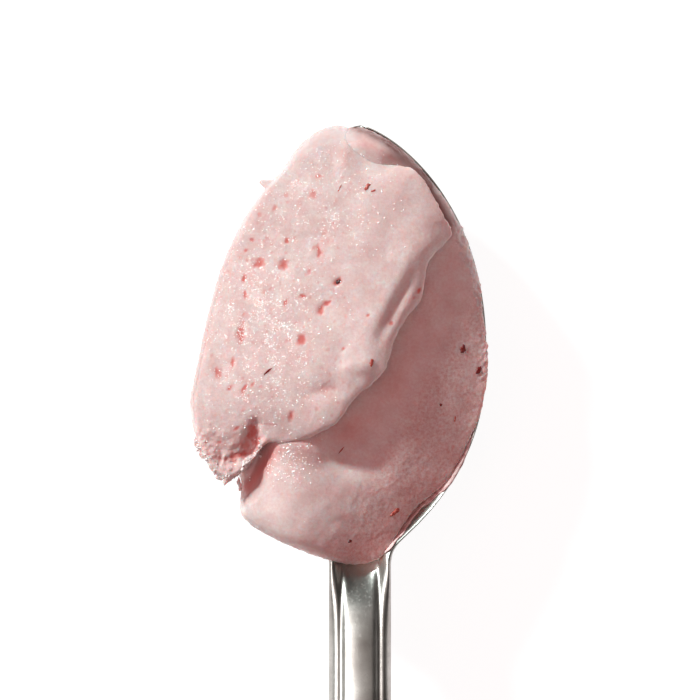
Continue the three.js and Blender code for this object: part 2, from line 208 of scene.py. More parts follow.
def cells_at(places: Array, size: float, seed: int) -> Array:
    """Rounded lumps: high inside each cell, low where two cells meet.

    Args:
        places: Places in millimetres, one a row.
        size: Distance between lumps, in millimetres.
        seed: Which lumps they are.

    Returns:
        One value from 0 to about 1 for each place.
    """
    scaled = places / size
    cell = np.floor(scaled).astype(np.int64)
    far = 9.0
    first = np.full(len(places), far)
    second = np.full(len(places), far)
    for step in itertools.product((-1, 0, 1), repeat=3):
        near = cell + step
        centre = near + 0.5 + CELL_JITTER * lattice_values(near, seed)
        away = np.linalg.norm(scaled - centre, axis=1)
        second = np.minimum(second, np.maximum(first, away))
        first = np.minimum(first, away)
    return np.minimum(second - first, 1.0)


# ---------------------------------------------------------------------------
# Relief: raised and sunken places, measured in plan


RELIEF_END = 0.6                 # how far a stretch reaches past its ends, in widths
PORE_RAGGED = 0.5                # how far noise moves a pore's outline, in half sizes
PORE_SLOPE = (0.1, 1.5)          # where a pore is deepest and where it ends, in the same


@dataclass(frozen=True)
class Relief:
    """A raised or sunken stretch along a straight line in plan.

    start and end are the line's ends, width is how far it spreads on each
    side, and rise is its height, negative for a hollow.
    """

    start: tuple[float, float]
    end: tuple[float, float]
    width: float
    rise: float

    def _run(self) -> tuple[float, float]:
        """The way from the start of the line to its end."""
        return self.end[0] - self.start[0], self.end[1] - self.start[1]

    def near(self, x: Array, y: Array) -> Array:
        """1 on the line, falling to 0 over the width."""
        run_x, run_y = self._run()
        squared = max(run_x**2 + run_y**2, TINY)
        from_x, from_y = x - self.start[0], y - self.start[1]
        along = np.clip((from_x * run_x + from_y * run_y) / squared, 0, 1)
        away = np.hypot(from_x - along * run_x, from_y - along * run_y)
        return np.exp(-((away / self.width) ** 2))

    def height(self, x: Array, y: Array) -> Array:
        """How far it raises each place: most in the middle, less towards its ends."""
        run_x, run_y = self._run()
        length = max(math.hypot(run_x, run_y), TINY)
        half = length / 2 + self.width * RELIEF_END
        off_x = x - (self.start[0] + self.end[0]) / 2
        off_y = y - (self.start[1] + self.end[1]) / 2
        along = (off_x * run_x + off_y * run_y) / length / half
        across = (off_y * run_x - off_x * run_y) / length / self.width
        return self.rise * np.exp(-(along**4) - across**2)


def relief_height(reliefs: tuple[Relief, ...], x: Array, y: Array) -> Array:
    """The sum of several raised and sunken places."""
    return sum((relief.height(x, y) for relief in reliefs), np.zeros_like(x))


@dataclass(frozen=True)
class Pore:
    """An open pore in the sherbet's face.

    pixel is its middle in the photograph, length and width are its size in
    pixels, turn is the way its length points in degrees from +X, depth is in
    millimetres, and the last field is how red it is inside: partly the
    sherbet's own red and partly painted shade that darkens the hollow.
    """

    pixel: tuple[float, float]
    length: float
    width: float
    turn: float = 0.0
    depth: float = 0.7
    # Red inside the pore: partly the sherbet's own red, partly painted shade of its hollow.
    blush_and_shade: float = 0.8

    def mask(self, x: Array, y: Array, warp: Array) -> Array:
        """How deep inside the pore each place is, from 0 to 1.

        Args:
            x: Places along X, in millimetres.
            y: Places along Y.
            warp: Noise that makes the outline irregular.

        Returns:
            1 in the middle, and 0 outside the pore.
        """
        centre_x, centre_y = from_photo(*self.pixel)
        turn = math.radians(self.turn)
        cos, sin = math.cos(turn), math.sin(turn)
        off_x, off_y = x - centre_x, y - centre_y
        along = (off_x * cos + off_y * sin) / (self.length * PHOTO_PIXEL / 2)
        across = (off_y * cos - off_x * sin) / (self.width * PHOTO_PIXEL / 2)
        return 1.0 - smoothstep(np.hypot(along, across) + PORE_RAGGED * warp, *PORE_SLOPE)


# ---------------------------------------------------------------------------
# The spoon's form


SHEET_REACH = 1.15               # how far past the rim the sheet's height is followed


@dataclass(frozen=True)
class SpoonForm:
    """The spoon's sizes, and the heights and widths that follow from them."""

    bowl_half_width: float = 20.64
    bowl_front: float = 37.5
    bowl_rear: float = 33.8
    front_power: tuple[float, float] = (2.25, 0.7)
    rear_power: tuple[float, float] = (2.27, 0.8)
    section_power: float = 2.3
    sheet: float = 1.8
    neck_half_width: float = 4.85
    neck_thickness: float = 4.8
    shaft_thickness: float = 4.0
    end_thickness: float = 2.6
    shaft_end: float = -75.0
    paddle_start: float = -150.0
    paddle_half_width: float = 10.5
    handle_end: float = -167.5
    flute_rise: tuple[float, float] = (31.0, 37.0)
    flute_offset: float = 2.95
    flute_width: float = 0.5
    flute_depth: float = 0.42
    flute_fade: tuple[float, float] = (148.0, 158.0)
    crown_share: float = 0.3         # how far the handle's top is rounded, in thicknesses
    crown_start: tuple[float, float] = (26.0, 34.0)
    join_zone: tuple[float, float] = (17.0, 30.0)
    join_rounding: float = 2.0
    neck_zone: tuple[float, float] = (22.0, 41.0)
    shaft_zone: tuple[float, float] = (41.0, 75.0)
    end_zone: tuple[float, float] = (80.0, 165.0)
    edge_power: float = 8.0          # how squarely the metal's edge is turned
    end_power: float = 2.4           # how squarely the handle ends
    least_half_width: float = 0.4
    steepest: float = 1.6
    bowl_share: float = 0.6          # the share of the sections that lies on the bowl
    past_bowl: float = 8.0
    profile: tuple[tuple[float, float, float], ...] = (
        (37.5, 12.0, 12.3), (30, 6.1, 12.2), (20, 2.1, 12.1), (8, 0.55, 12.1),
        (-8, 0.55, 12.3), (-18, 2.5, 13.0), (-27, 6.6, 14.1), (-34, 11.0, 14.9),
        (-42, 14.9, 15.6), (-60, 17.3, 17.3), (-90, 15.0, 15.0), (-130, 7.3, 7.3),
        (-158, 1.6, 1.6), (-167.5, 1.0, 1.0),
    )

    def _line(self, y: Array, column: int) -> Array:
        """A height along the spoon, from the profile's second or third column."""
        points = [(row[0], row[column]) for row in self.profile]
        curve = catmull_rom(points, closed=False)[::-1]
        return np.interp(y, curve[:, 0], curve[:, 1])

    def bowl_width_at(self, y: Array) -> Array:
        """Half the width of the bowl alone."""
        ends = (
            np.maximum(0, 1 - (np.abs(y) / reach) ** outer) ** inner
            for reach, (outer, inner) in (
                (self.bowl_front, self.front_power), (self.bowl_rear, self.rear_power),
            )
        )
        return self.bowl_half_width * np.where(y > 0, *ends)

    def handle_width_at(self, y: Array) -> Array:
        """Half the width of the handle alone."""
        widened = smoothstep(-y, -self.shaft_end, -self.paddle_start)
        full = lerp(self.neck_half_width, self.paddle_half_width, widened)
        past = (self.paddle_start - y) / (self.paddle_start - self.handle_end)
        return full * np.sqrt(1 - np.clip(past, 0, 1) ** self.end_power)

    def width_at(self, y: Array) -> Array:
        """Half the width of the whole spoon."""
        bowl, handle = self.bowl_width_at(y), self.handle_width_at(y)
        joined = soft_max(bowl, handle, self.join_rounding * smoothstep(-y, *self.join_zone))
        joined = np.where(y < self.paddle_start, handle, joined)
        return np.where(y > -self.bowl_rear / 2, bowl, joined)

    def across_at(self, x: Array, y: Array, most: float = 1.0) -> Array:
        """Distance from the middle as a share of half the spoon's width."""
        half_width = np.maximum(self.width_at(y), self.least_half_width)
        return np.minimum(np.abs(x) / half_width, most)

    def sheet_height(self, x: Array, y: Array) -> Array:
        """Height of the middle of the sheet."""
        keel = self._line(y, 1)
        across = self.across_at(x, y, SHEET_REACH)
        return keel + (self._line(y, 2) - keel) * across**self.section_power

    def thickness_at(self, y: Array) -> Array:
        """Thickness of the metal."""
        neck = lerp(self.sheet, self.neck_thickness, smoothstep(-y, *self.neck_zone))
        shaft = lerp(neck, self.shaft_thickness, smoothstep(-y, *self.shaft_zone))
        return lerp(shaft, self.end_thickness, smoothstep(-y, *self.end_zone))

    def slope_factor(self, x: Array, y: Array) -> Array:
        """How much taller than its thickness the sloping sheet stands."""
        step = 0.2
        rise_x = self.sheet_height(x + step, y) - self.sheet_height(x - step, y)
        rise_y = self.sheet_height(x, y + step) - self.sheet_height(x, y - step)
        slope = np.hypot(rise_x / (2 * step), rise_y / (2 * step))
        return np.sqrt(1 + np.minimum(slope, self.steepest) ** 2)

    def flute_at(self, x: Array, y: Array) -> Array:
        """Depth of the two grooves on top of the handle."""
        offset = self.flute_offset * self.width_at(y) / self.neck_half_width
        groove = np.exp(-(((np.abs(x) - offset) / self.flute_width) ** 2))
        starts = smoothstep(-y, *self.flute_rise)
        return self.flute_depth * groove * starts * (1 - smoothstep(-y, *self.flute_fade))

    def crown_at(self, x: Array, y: Array) -> Array:
        """How far the rounded top of the handle lies under a flat one."""
        across = self.across_at(x, y)
        fall = (across**2 - 1 / 3) * np.sqrt(1 - across**self.edge_power)
        deepest = self.crown_share * self.thickness_at(y)
        return deepest * fall * smoothstep(-y, *self.crown_start)

    def station_at(self, fraction: Array) -> Array:
        """Place along the spoon of a section, from 0 at the tip to 1 at the end."""
        crowded_tip, crowded_ends = 0.3, 0.75
        share, neck = self.bowl_share, -self.bowl_rear - self.past_bowl
        part = np.clip(fraction / share, 0, 1)
        eased = lerp(part, 1 - np.cos(part * np.pi / 2), crowded_tip)
        bowl = self.bowl_front - (self.bowl_front - neck) * eased
        part = np.clip((fraction - share) / (1 - share), 0, 1)
        eased = part - crowded_ends * np.sin(2 * np.pi * part) / (2 * np.pi)
        return np.where(fraction < share, bowl, lerp(neck, self.handle_end, eased))

    def inner_height(self, x: Array, y: Array) -> Array:
        """Height of the upper face of the metal."""
        square = np.sqrt(1 - self.across_at(x, y) ** self.edge_power)
        half = self.thickness_at(y) / 2 * self.slope_factor(x, y) * square
        return self.sheet_height(x, y) + half


SPOON_FORM = SpoonForm()


# ---------------------------------------------------------------------------
# The sherbet's form


@dataclass(frozen=True)
class Mass:
    """One lump of sherbet.

    Its outline is a loop of [x, y, edge] in plan round a centre.  The edge is
    a height for the scoop, and a drop below the top for the slab.
    """

    centre: tuple[float, float]
    peak: float
    outline: tuple[tuple[float, float, float], ...]

    def polar(self, turns: Array) -> tuple[Array, Array]:
        """Radius and edge height of the outline in each direction from the centre."""
        loop = catmull_rom(self.outline, closed=True)
        turn = np.arctan2(loop[:, 1] - self.centre[1], loop[:, 0] - self.centre[0])
        radius = np.hypot(loop[:, 0] - self.centre[0], loop[:, 1] - self.centre[1])
        order = np.argsort(turn)
        turn, radius, edge = turn[order], radius[order], loop[order, 2]
        return (
            np.interp(turns, turn, radius, period=2 * np.pi),
            np.interp(turns, turn, edge, period=2 * np.pi),
        )


@dataclass(frozen=True)
class Spread:
    """Places of a lump's skin in plan.

    x and y are in millimetres, out runs from 0 at the middle to 1 at the
    outline, turn is the way from the middle, and edge is the outline's height.
    """

    x: Array
    y: Array
    out: Array
    turn: Array
    edge: Array


EdgeRule = Callable[[Array], tuple[Array, Array]]
ShapeRule = Callable[[Spread], Array]

SCOOP = Mass(
    centre=(0.3, -2.8),
    peak=20.4,
    outline=(
        (-1.3, 37.1, 13.9), (5.7, 34.3, 13.9), (11.7, 28.3, 13.8),
        (16.8, 20.3, 13.6), (19.3, 12.6, 13.5), (20.1, 6.6, 13.4),
        (21.0, 0.4, 13.6), (20.5, -6.6, 13.3), (18.4, -12.7, 13.2),
        (14.2, -20.5, 13.4), (9.1, -24.9, 14.0), (6.0, -29.3, 14.9),
        (3.2, -33.1, 15.4), (-2.0, -34.0, 15.6), (-8.6, -32.2, 15.8),
        (-15.6, -29.0, 15.5), (-19.3, -25.9, 15.2), (-19.4, -20.6, 14.8),
        (-22.1, -13.5, 14.6), (-23.9, -3.2, 14.6), (-21.6, 8.6, 14.5),
        (-16.4, 22.0, 14.2), (-9.4, 32.2, 13.9),
    ),
)
SLAB = Mass(
    centre=(-6, 10),
    peak=24.4,
    outline=(
        (-2.4, 37.2, 6.0), (0.3, 33.8, 4.0), (2.3, 31.7, 3.0),
        (5.4, 30.8, 2.0), (8.6, 30.2, 1.4), (11.5, 26.5, 1.1),
        (13.4, 22.9, 1.0), (15.0, 19.7, 1.0), (12.9, 17.2, 1.0),
        (11.1, 15.0, 1.0), (10.0, 9.4, 1.0), (7.0, 5.2, 1.0),
        (5.4, 2.0, 1.0), (4.7, -0.7, 1.0), (3.7, -2.9, 1.0),
        (-1.2, -7.4, 1.0), (-3.7, -10.9, 1.0), (-8.1, -13.3, 1.0),
        (-11.6, -14.4, 1.0), (-15.0, -14.2, 1.2), (-16.3, -15.6, 2.4),
        (-17.3, -17.3, 3.4), (-19.6, -19.4, 4.0), (-21.8, -20.3, 4.2),
        (-24.3, -18.3, 4.0), (-26.5, -13.8, 4.8), (-27.5, -8.1, 5.8),
        (-26.5, -2.4, 6.4), (-24.6, 6.5, 6.6), (-22.8, 13.0, 6.6),
        (-19.6, 20.6, 6.6), (-15.9, 26.3, 6.5), (-12.4, 30.5, 6.4),
        (-9.2, 34.6, 6.3), (-5.6, 36.9, 6.3),
    ),
)

SLAB_FALL_TO_TIP = 0.09            # fall of its top for each millimetre towards the tip
SLAB_TIP_ROUNDING = 6.0
SLAB_FALL_TO_NECK = (0.9, 14)      # fall over a length, slowly and then faster
SLAB_FALL_TO_LEFT = (0.8, 16)
SLAB_FALL_TO_RIGHT = (1.2, 10)
SLAB_SHOULDERS = (-8, 1)           # where the falls to the left and to the right start
SLAB_CRISP = (110.0, 9.0)          # how squarely its left wall and right edge are turned
SLAB_RIGHT = (-0.5, 0.1)           # cosines between which its left side becomes its right
SLAB_ROOT = 6.5
LIP_HALF = 1.35
LIP_REACH = (0.66, 0.86)
LIP_POWER = 8.0
RIM_LIFT = 1.6
RIM_ZONE = (0.86, 0.95)
OVERHANG_RISE = 0.35
SWELL = 0.05
SWELL_LENGTHS = ((11, 31), (13, 27))

SLAB_RELIEF = (
    Relief((11.8, 12.6), (6.4, 0.4), 2.5, -1.4),       # the lip, a step below the rest
    Relief((8.4, 12.6), (3.4, 3.2), 1.1, -0.8),        # the furrow at the foot of that step
    Relief((-1.4, -1.2), (1.2, -2.2), 1.9, 0.7),       # the knob at the furrow's end
    Relief((3.6, 1.2), (2.2, -4.2), 1.6, -0.2),        # the fall of the lip beyond the knob
    Relief((-8.0, -6.2), (-4.2, -5.4), 1.6, -0.28),    # a dent before the front edge
    Relief((-16.0, -13.8), (-9.6, -14.2), 3.6, -1.0),  # the front edge settles on the scoop
    Relief((6.7, 22.8), (4.1, 16.7), 2.6, -0.3),       # the shallow hollow near the corner
    Relief((16.0, 22.0), (13.0, 15.4), 1.9, -0.9),     # the corner beyond it droops
    Relief((-4.2, 36.0), (-1.6, 30.5), 1.6, 0.35),     # the pale ridge near the tip
    Relief((2.4, 33.4), (8.0, 31.4), 1.6, -0.5),       # the hollow beside that ridge
    Relief((-16.8, -10.8), (-17.1, -12.8), 0.8, -0.7),  # the notch behind the front edge
    Relief((-17.2, -13.2), (-17.9, -16.4), 1.2, -1.2),
    Relief((-18.4, -15.4), (-23.2, -18.6), 3.2, -0.6),  # the torn end, broken off lower
)
SCOOP_RELIEF = (
    Relief((-12.6, -9.0), (-8.6, -26.0), 7.2, 1.3),    # the swelling under the front edge
    Relief((-3.4, -15.8), (3.5, -16.8), 3.0, -1.1),    # the hollow under that edge
    Relief((-13.2, -13.6), (-7.4, -15.0), 2.2, 0.7),   # the crest that touches the edge
    Relief((-0.8, 36.4), (5.0, 32.6), 2.6, 2.4),       # the shoulder at the tip
    Relief((-15.4, -13.0), (-18.2, -21.0), 1.5, -1.6),  # the groove beside the torn end
)
SCOOP_FLANKS = ((-8, 8.0, 0.5), (-30, 9.8, 0.52))  # turn, start and fall a millimetre
SCOOP_FLANK_ROUNDING = 2.0
SCOOP_CAP_RIDGE = -11.7            # where the top is highest, along X
SCOOP_CAP_FALLS = (0.2, 0.1)       # fall a millimetre to the left and right of that
SCOOP_CAP_ROUNDING = 3.0
SCOOP_FOOT_ROUNDING = 0.8
SCOOP_LEAST_RISE = 0.2
SCOOP_TOP_POWER = 26.0
SCOOP_BED_POWER = 14.0
SCOOP_LEAST_EDGE = 0.1


def swell_at(x: Array, y: Array) -> Array:
    """Slow waviness that keeps broad faces from looking machined."""
    (short_x, long_y), (short_y, long_x) = SWELL_LENGTHS
    wave = np.sin(2 * np.pi * (x / short_x + y / long_y))
    return SWELL * (wave + np.sin(2 * np.pi * (y / short_y - x / long_x)))


def slab_faces_right(turn: Array) -> Array:
    """How much a direction belongs to the slab's right side, from 0 to 1."""
    return smoothstep(np.cos(turn), *SLAB_RIGHT)


def scoop_surface(x: Array, y: Array) -> Array:
    """The scoop's top before it is rounded down to its outline."""
    left, right = SCOOP_CAP_FALLS
    off = x - SCOOP_CAP_RIDGE
    ridge = np.sqrt(off**2 + SCOOP_CAP_ROUNDING**2) - SCOOP_CAP_ROUNDING
    height = SCOOP.peak - (left + right) / 2 * ridge - (right - left) / 2 * off
    for turn, start, fall in SCOOP_FLANKS:
        way = math.radians(turn)
        flank = SCOOP.peak - fall * (x * math.cos(way) + y * math.sin(way) - start)
        height = soft_min(height, flank, SCOOP_FLANK_ROUNDING)
    return height + relief_height(SCOOP_RELIEF, x, y)


def scoop_top(at: Spread) -> Array:
    """Top of the scoop: plane flanks on the right and a round end on the left."""
    over_edge = scoop_surface(at.x, at.y) - at.edge
    rise = soft_max(over_edge, SCOOP_LEAST_RISE, SCOOP_FOOT_ROUNDING)
    return at.edge + rise * dome(at.out, SCOOP_TOP_POWER)


def scoop_underside(at: Spread) -> Array:
    """Underside of the scoop: just inside the metal, and clear of the rim outside it."""
    half_width = np.maximum(SPOON_FORM.width_at(at.y), SPOON_FORM.least_half_width)
    lift = RIM_LIFT * smoothstep(np.abs(at.x) / half_width, *RIM_ZONE)
    overhang = OVERHANG_RISE * np.maximum(0, np.abs(at.x) - half_width)
    bed = SPOON_FORM.sheet_height(at.x, at.y) + lift + overhang
    deep = at.edge - np.minimum(bed, at.edge - SCOOP_LEAST_EDGE)
    return at.edge - deep * dome(at.out, SCOOP_BED_POWER)


def slab_fall(x: Array, y: Array) -> Array:
    """How far the slab's top lies under its peak."""
    left, right = SLAB_SHOULDERS
    return (
        SLAB_FALL_TO_TIP * soft_max(y, 0, SLAB_TIP_ROUNDING)
        + SLAB_FALL_TO_NECK[0] * (np.minimum(0, y) / SLAB_FALL_TO_NECK[1]) ** 2
        + SLAB_FALL_TO_LEFT[0] * (np.minimum(0, x - left) / SLAB_FALL_TO_LEFT[1]) ** 2
        + SLAB_FALL_TO_RIGHT[0] * (np.maximum(0, x - right) / SLAB_FALL_TO_RIGHT[1]) ** 2
    )


def slab_surface(x: Array, y: Array) -> Array:
    """The slab's top before it is rounded down to its outline."""
    return SLAB.peak - slab_fall(x, y) + relief_height(SLAB_RELIEF, x, y) + swell_at(x, y)


def slab_edge(turn: Array) -> tuple[Array, Array]:
    """Radius of the slab and height of its edge in each direction from its centre."""
    radius, drop = SLAB.polar(turn)
    x = SLAB.centre[0] + radius * np.cos(turn)
    y = SLAB.centre[1] + radius * np.sin(turn)
    return radius, slab_surface(x, y) - drop


def slab_top(at: Spread) -> Array:
    """Top of the slab that lies on the scoop."""
    crisp = lerp(*SLAB_CRISP, slab_faces_right(at.turn))
    return lerp(at.edge, slab_surface(at.x, at.y), dome(at.out, crisp))


def slab_underside(at: Spread) -> Array:
    """Underside of the slab: a thin lip round the edge, then its root in the scoop."""
    root = SLAB_ROOT * (1 - smoothstep(at.out, *LIP_REACH))
    lip = at.edge - LIP_HALF * dome(at.out, LIP_POWER) - root
    deep = scoop_underside(at)
    return np.maximum(lerp(deep, lip, slab_faces_right(at.turn)), deep)


# ---------------------------------------------------------------------------
# Meshes


EVEN_RINGS = 0.4                 # how far the rings of faces are evened out in plan
AT_POLE = 1e-6                   # distance under which two places count as one
LUMP_STEPS = (3.1, 1.7, 2.3)     # how far apart two seeds read a lump's noise
LUMP_WAVES = 1.6
LUMP_GAIN = 2.0


def place_vertices(bm: BMesh, places: Array) -> None:
    """Moves every vertex of a bmesh to a place given in millimetres."""
    for vertex, place in zip(bm.verts, (places * MM).tolist()):
        vertex.co = place


def vertex_array(bm: BMesh) -> Array:
    """The vertices of a bmesh, one a row, in the bmesh's own unit."""
    return np.array([vertex.co[:] for vertex in bm.verts])


def link_object(name: str, data: bpy.types.ID) -> Object:
    """Puts a new object that holds a mesh, light or camera in the scene."""
    obj = bpy.data.objects.new(name, data)
    bpy.context.scene.collection.objects.link(obj)
    return obj


def dress_mesh(name: str, mesh: Mesh, material: Material) -> Object:
    """Puts a smooth-shaded mesh of one material in the scene."""
    mesh.name = name
    mesh.materials.clear()
    mesh.materials.append(material)
    mesh.shade_smooth()
    return link_object(name, mesh)


def finish_mesh(name: str, bm: BMesh, material: Material) -> Object:
    """Turns a bmesh into an object in the scene with one material.

    Args:
        name: The object's name.
        bm: The bmesh, which is freed.
        material: The finish of all its faces.

    Returns:
        The new object, at the origin.
    """
    bmesh.ops.recalc_face_normals(bm, faces=bm.faces)
    mesh = bpy.data.meshes.new(name)
    bm.to_mesh(mesh)
    bm.free()
    return dress_mesh(name, mesh, material)


def join_part(bm: BMesh, part: BMesh) -> None:
    """Adds all of one bmesh to another, and frees it."""
    mesh = bpy.data.meshes.new("part")
    part.to_mesh(mesh)
    part.free()
    bm.from_mesh(mesh)
    bpy.data.meshes.remove(mesh)


def add_mass(
    bm: BMesh, mass: Mass, faces: tuple[int, int],
    edge_at: EdgeRule, top: ShapeRule, underside: ShapeRule,
) -> None:
    """Adds one lump of sherbet to a bmesh.

    Args:
        bm: The bmesh that it joins.
        mass: The lump's plan and peak.
        faces: Faces round it, and from pole to pole.
        edge_at: Gives the radius and edge height in each direction.
        top: Gives the height of its top.
        underside: Gives the height of its underside.
    """
    part = bmesh.new()
    bmesh.ops.create_uvsphere(part, u_segments=faces[0], v_segments=faces[1], radius=1.0)
    unit = vertex_array(part)
    turn = np.arctan2(unit[:, 1], unit[:, 0])
    radius, edge = edge_at(turn)
    ring = np.minimum(np.hypot(unit[:, 0], unit[:, 1]), 1.0)
    out = lerp(ring, np.arcsin(ring) * 2 / np.pi, EVEN_RINGS)
    x = mass.centre[0] + out * radius * np.cos(turn)
    y = mass.centre[1] + out * radius * np.sin(turn)
    spread = Spread(x, y, out, turn, edge)
    above = unit[:, 2]
    z = np.where(above > 0, top(spread), underside(spread))
    z = np.where(np.abs(above) < AT_POLE, edge, z)
    place_vertices(part, np.stack([x, y, z], axis=1))
    join_part(bm, part)


def remeshed(bm: BMesh, voxel: float) -> Mesh:
    """One even skin round everything in a bmesh, which is freed.

    Args:
        bm: Closed lumps that may run through each other.
        voxel: Size of the new faces, in millimetres.

    Returns:
        The new mesh.
    """
    mesh = bpy.data.meshes.new("lumps")
    bm.to_mesh(mesh)
    bm.free()
    obj = link_object("lumps", mesh)
    remesh = obj.modifiers.new("even", "REMESH")
    remesh.mode = "VOXEL"
    remesh.voxel_size = voxel * MM
    remesh.adaptivity = 0.0
    graph = bpy.context.evaluated_depsgraph_get()
    result = bpy.data.meshes.new_from_object(obj.evaluated_get(graph))
    bpy.data.objects.remove(obj)
    bpy.data.meshes.remove(mesh)
    return result


@dataclass(frozen=True)
class LumpKind:
    """How a lump is made: how finely, and how far its corners stand in or out."""

    detail: int
    roughness: float


CHIP_KIND = LumpKind(1, 0.45)
BIT_KIND = LumpKind(3, 0.35)
CRUMB_KIND = LumpKind(2, 0.42)


def standing(place: Vector, normal: Vector, turn: float) -> Matrix:
    """The frame of a thing that stands on a surface.

    Args:
        place: Its middle, in metres.
        normal: The way its third axis points.
        turn: Turn about the normal, in degrees.

    Returns:
        The matrix that takes its own places to places in the scene.
    """
    lean = Vector((0, 0, 1)).rotation_difference(normal).to_matrix().to_4x4()
    return Matrix.Translation(place) @ lean @ Matrix.Rotation(math.radians(turn), 4, "Z")


def half_sizes(pixels: tuple[float, ...]) -> tuple[float, ...]:
    """Half of each of some sizes in the photograph, in millimetres."""
    return tuple(pixel * PHOTO_PIXEL / 2 for pixel in pixels)


def cluster_at(px: float, py: float, size: float, seed: float) -> float:
    """Noise over the photograph, from about -1 to 1, that things are clustered by."""
    return noise.noise(Vector((px / size, py / size, seed)))


def add_lump(
    bm: BMesh, frame: Matrix, size: tuple[float, float, float],
    kind: LumpKind, seed: float,
) -> None:
    """Adds one small irregular lump to a bmesh.

    Args:
        bm: The bmesh that it joins.
        frame: Where it lies.
        size: Half its length, width and height, in millimetres.
        kind: How it is made.
        seed: Which lump it is.
    """
    sphere = bmesh.ops.create_icosphere(bm, subdivisions=kind.detail, radius=1.0)
    shift = Vector([seed * step for step in LUMP_STEPS])
    for vertex in sphere["verts"]:
        rough = noise.noise(vertex.co * LUMP_WAVES + shift) * LUMP_GAIN
        reach = 1 + kind.roughness * rough
        local = Vector(vertex.co[i] * size[i] * reach * MM for i in range(3))
        vertex.co = frame @ local


def add_plate(bm: BMesh, frame: Matrix, size: tuple[float, float, float]) -> None:
    """Adds one flat six-sided crystal to a bmesh.

    Args:
        bm: The bmesh that it joins.
        frame: Where it lies.
        size: Half its length, width and height, in millimetres.
    """
    plate = bmesh.ops.create_cone(
        bm, cap_ends=True, segments=6, radius1=1.0, radius2=0.75, depth=2.0
    )
    for vertex in plate["verts"]:
        vertex.co = frame @ Vector(vertex.co[i] * size[i] * MM for i in range(3))


def mesh_arrays(mesh: Mesh) -> tuple[Array, Array]:
    """Places in millimetres and normals of a mesh's vertices, one a row."""
    columns = []
    for name in ("co", "normal"):
        values = np.empty(len(mesh.vertices) * 3, np.float32)
        mesh.vertices.foreach_get(name, values)
        columns.append(values.reshape(-1, 3).astype(float))
    return columns[0] / MM, columns[1]


def set_places(mesh: Mesh, places: Array) -> None:
    """Moves a mesh's vertices to places in millimetres."""
    mesh.vertices.foreach_set("co", (places * MM).astype(np.float32).ravel())
    mesh.update()


def set_attribute(mesh: Mesh, name: str, values: Array) -> None:
    """Stores one number a vertex, from 0 to 1, for a material to read."""
    layer = mesh.attributes.new(name, "FLOAT", "POINT")
    layer.data.foreach_set("value", np.clip(values, 0, 1).astype(np.float32))


# ---------------------------------------------------------------------------
# Finishes


class Tint(Enum):
    """Colours of the real thing, in sRGB, and the colours that painted shade mixes in."""

    CREAM = (247, 234, 231)
    PINK = (237, 213, 210)
    GRAIN = (212, 148, 142)
    CORAL = (214, 112, 98)
    # Painted shade and the sherbet's own red: mixed into pores, creases, the tear's hollows
    # and the shadowed foot of the lip.
    BLUSH_AND_SHADE = (222, 66, 48)
    # Painted shade: a greyer tone that dims skin facing the key light.
    SUNLIT_DIMMING = (198, 170, 168)
    FROST = (226, 218, 219)
    SPARK = (253, 244, 242)
    CRUMB = (232, 210, 206)
    SMEAR = (140, 94, 90)
    FRUIT = (122, 22, 22)
    FLESH = (150, 52, 46)
    PULP = (172, 58, 46)
    SEED = (46, 12, 14)
    FILM = (206, 158, 156)
    STEEL = (212, 207, 202)
    STEEL_DARK = (158, 150, 145)

    def linear(self) -> tuple[float, float, float, float]:
        """The colour as Blender's sockets take it."""
        rgb = [(c / 255 + 0.055) / 1.055 for c in self.value]
        return (*[c**2.4 if c > 0.04045 else c * 1.055 / 12.92 for c in rgb], 1.0)


Value = NodeSocket | float | tuple[float, ...]

WATER_IOR = 1.33
ICE_IOR = 1.31


@dataclass(frozen=True)
class Pattern:
    """Noise of a size in millimetres, of which low becomes 0 and high becomes 1."""

    size: float
    detail: float = 2.0
    roughness: float = 0.5
    low: float = 0.0
    high: float = 1.0


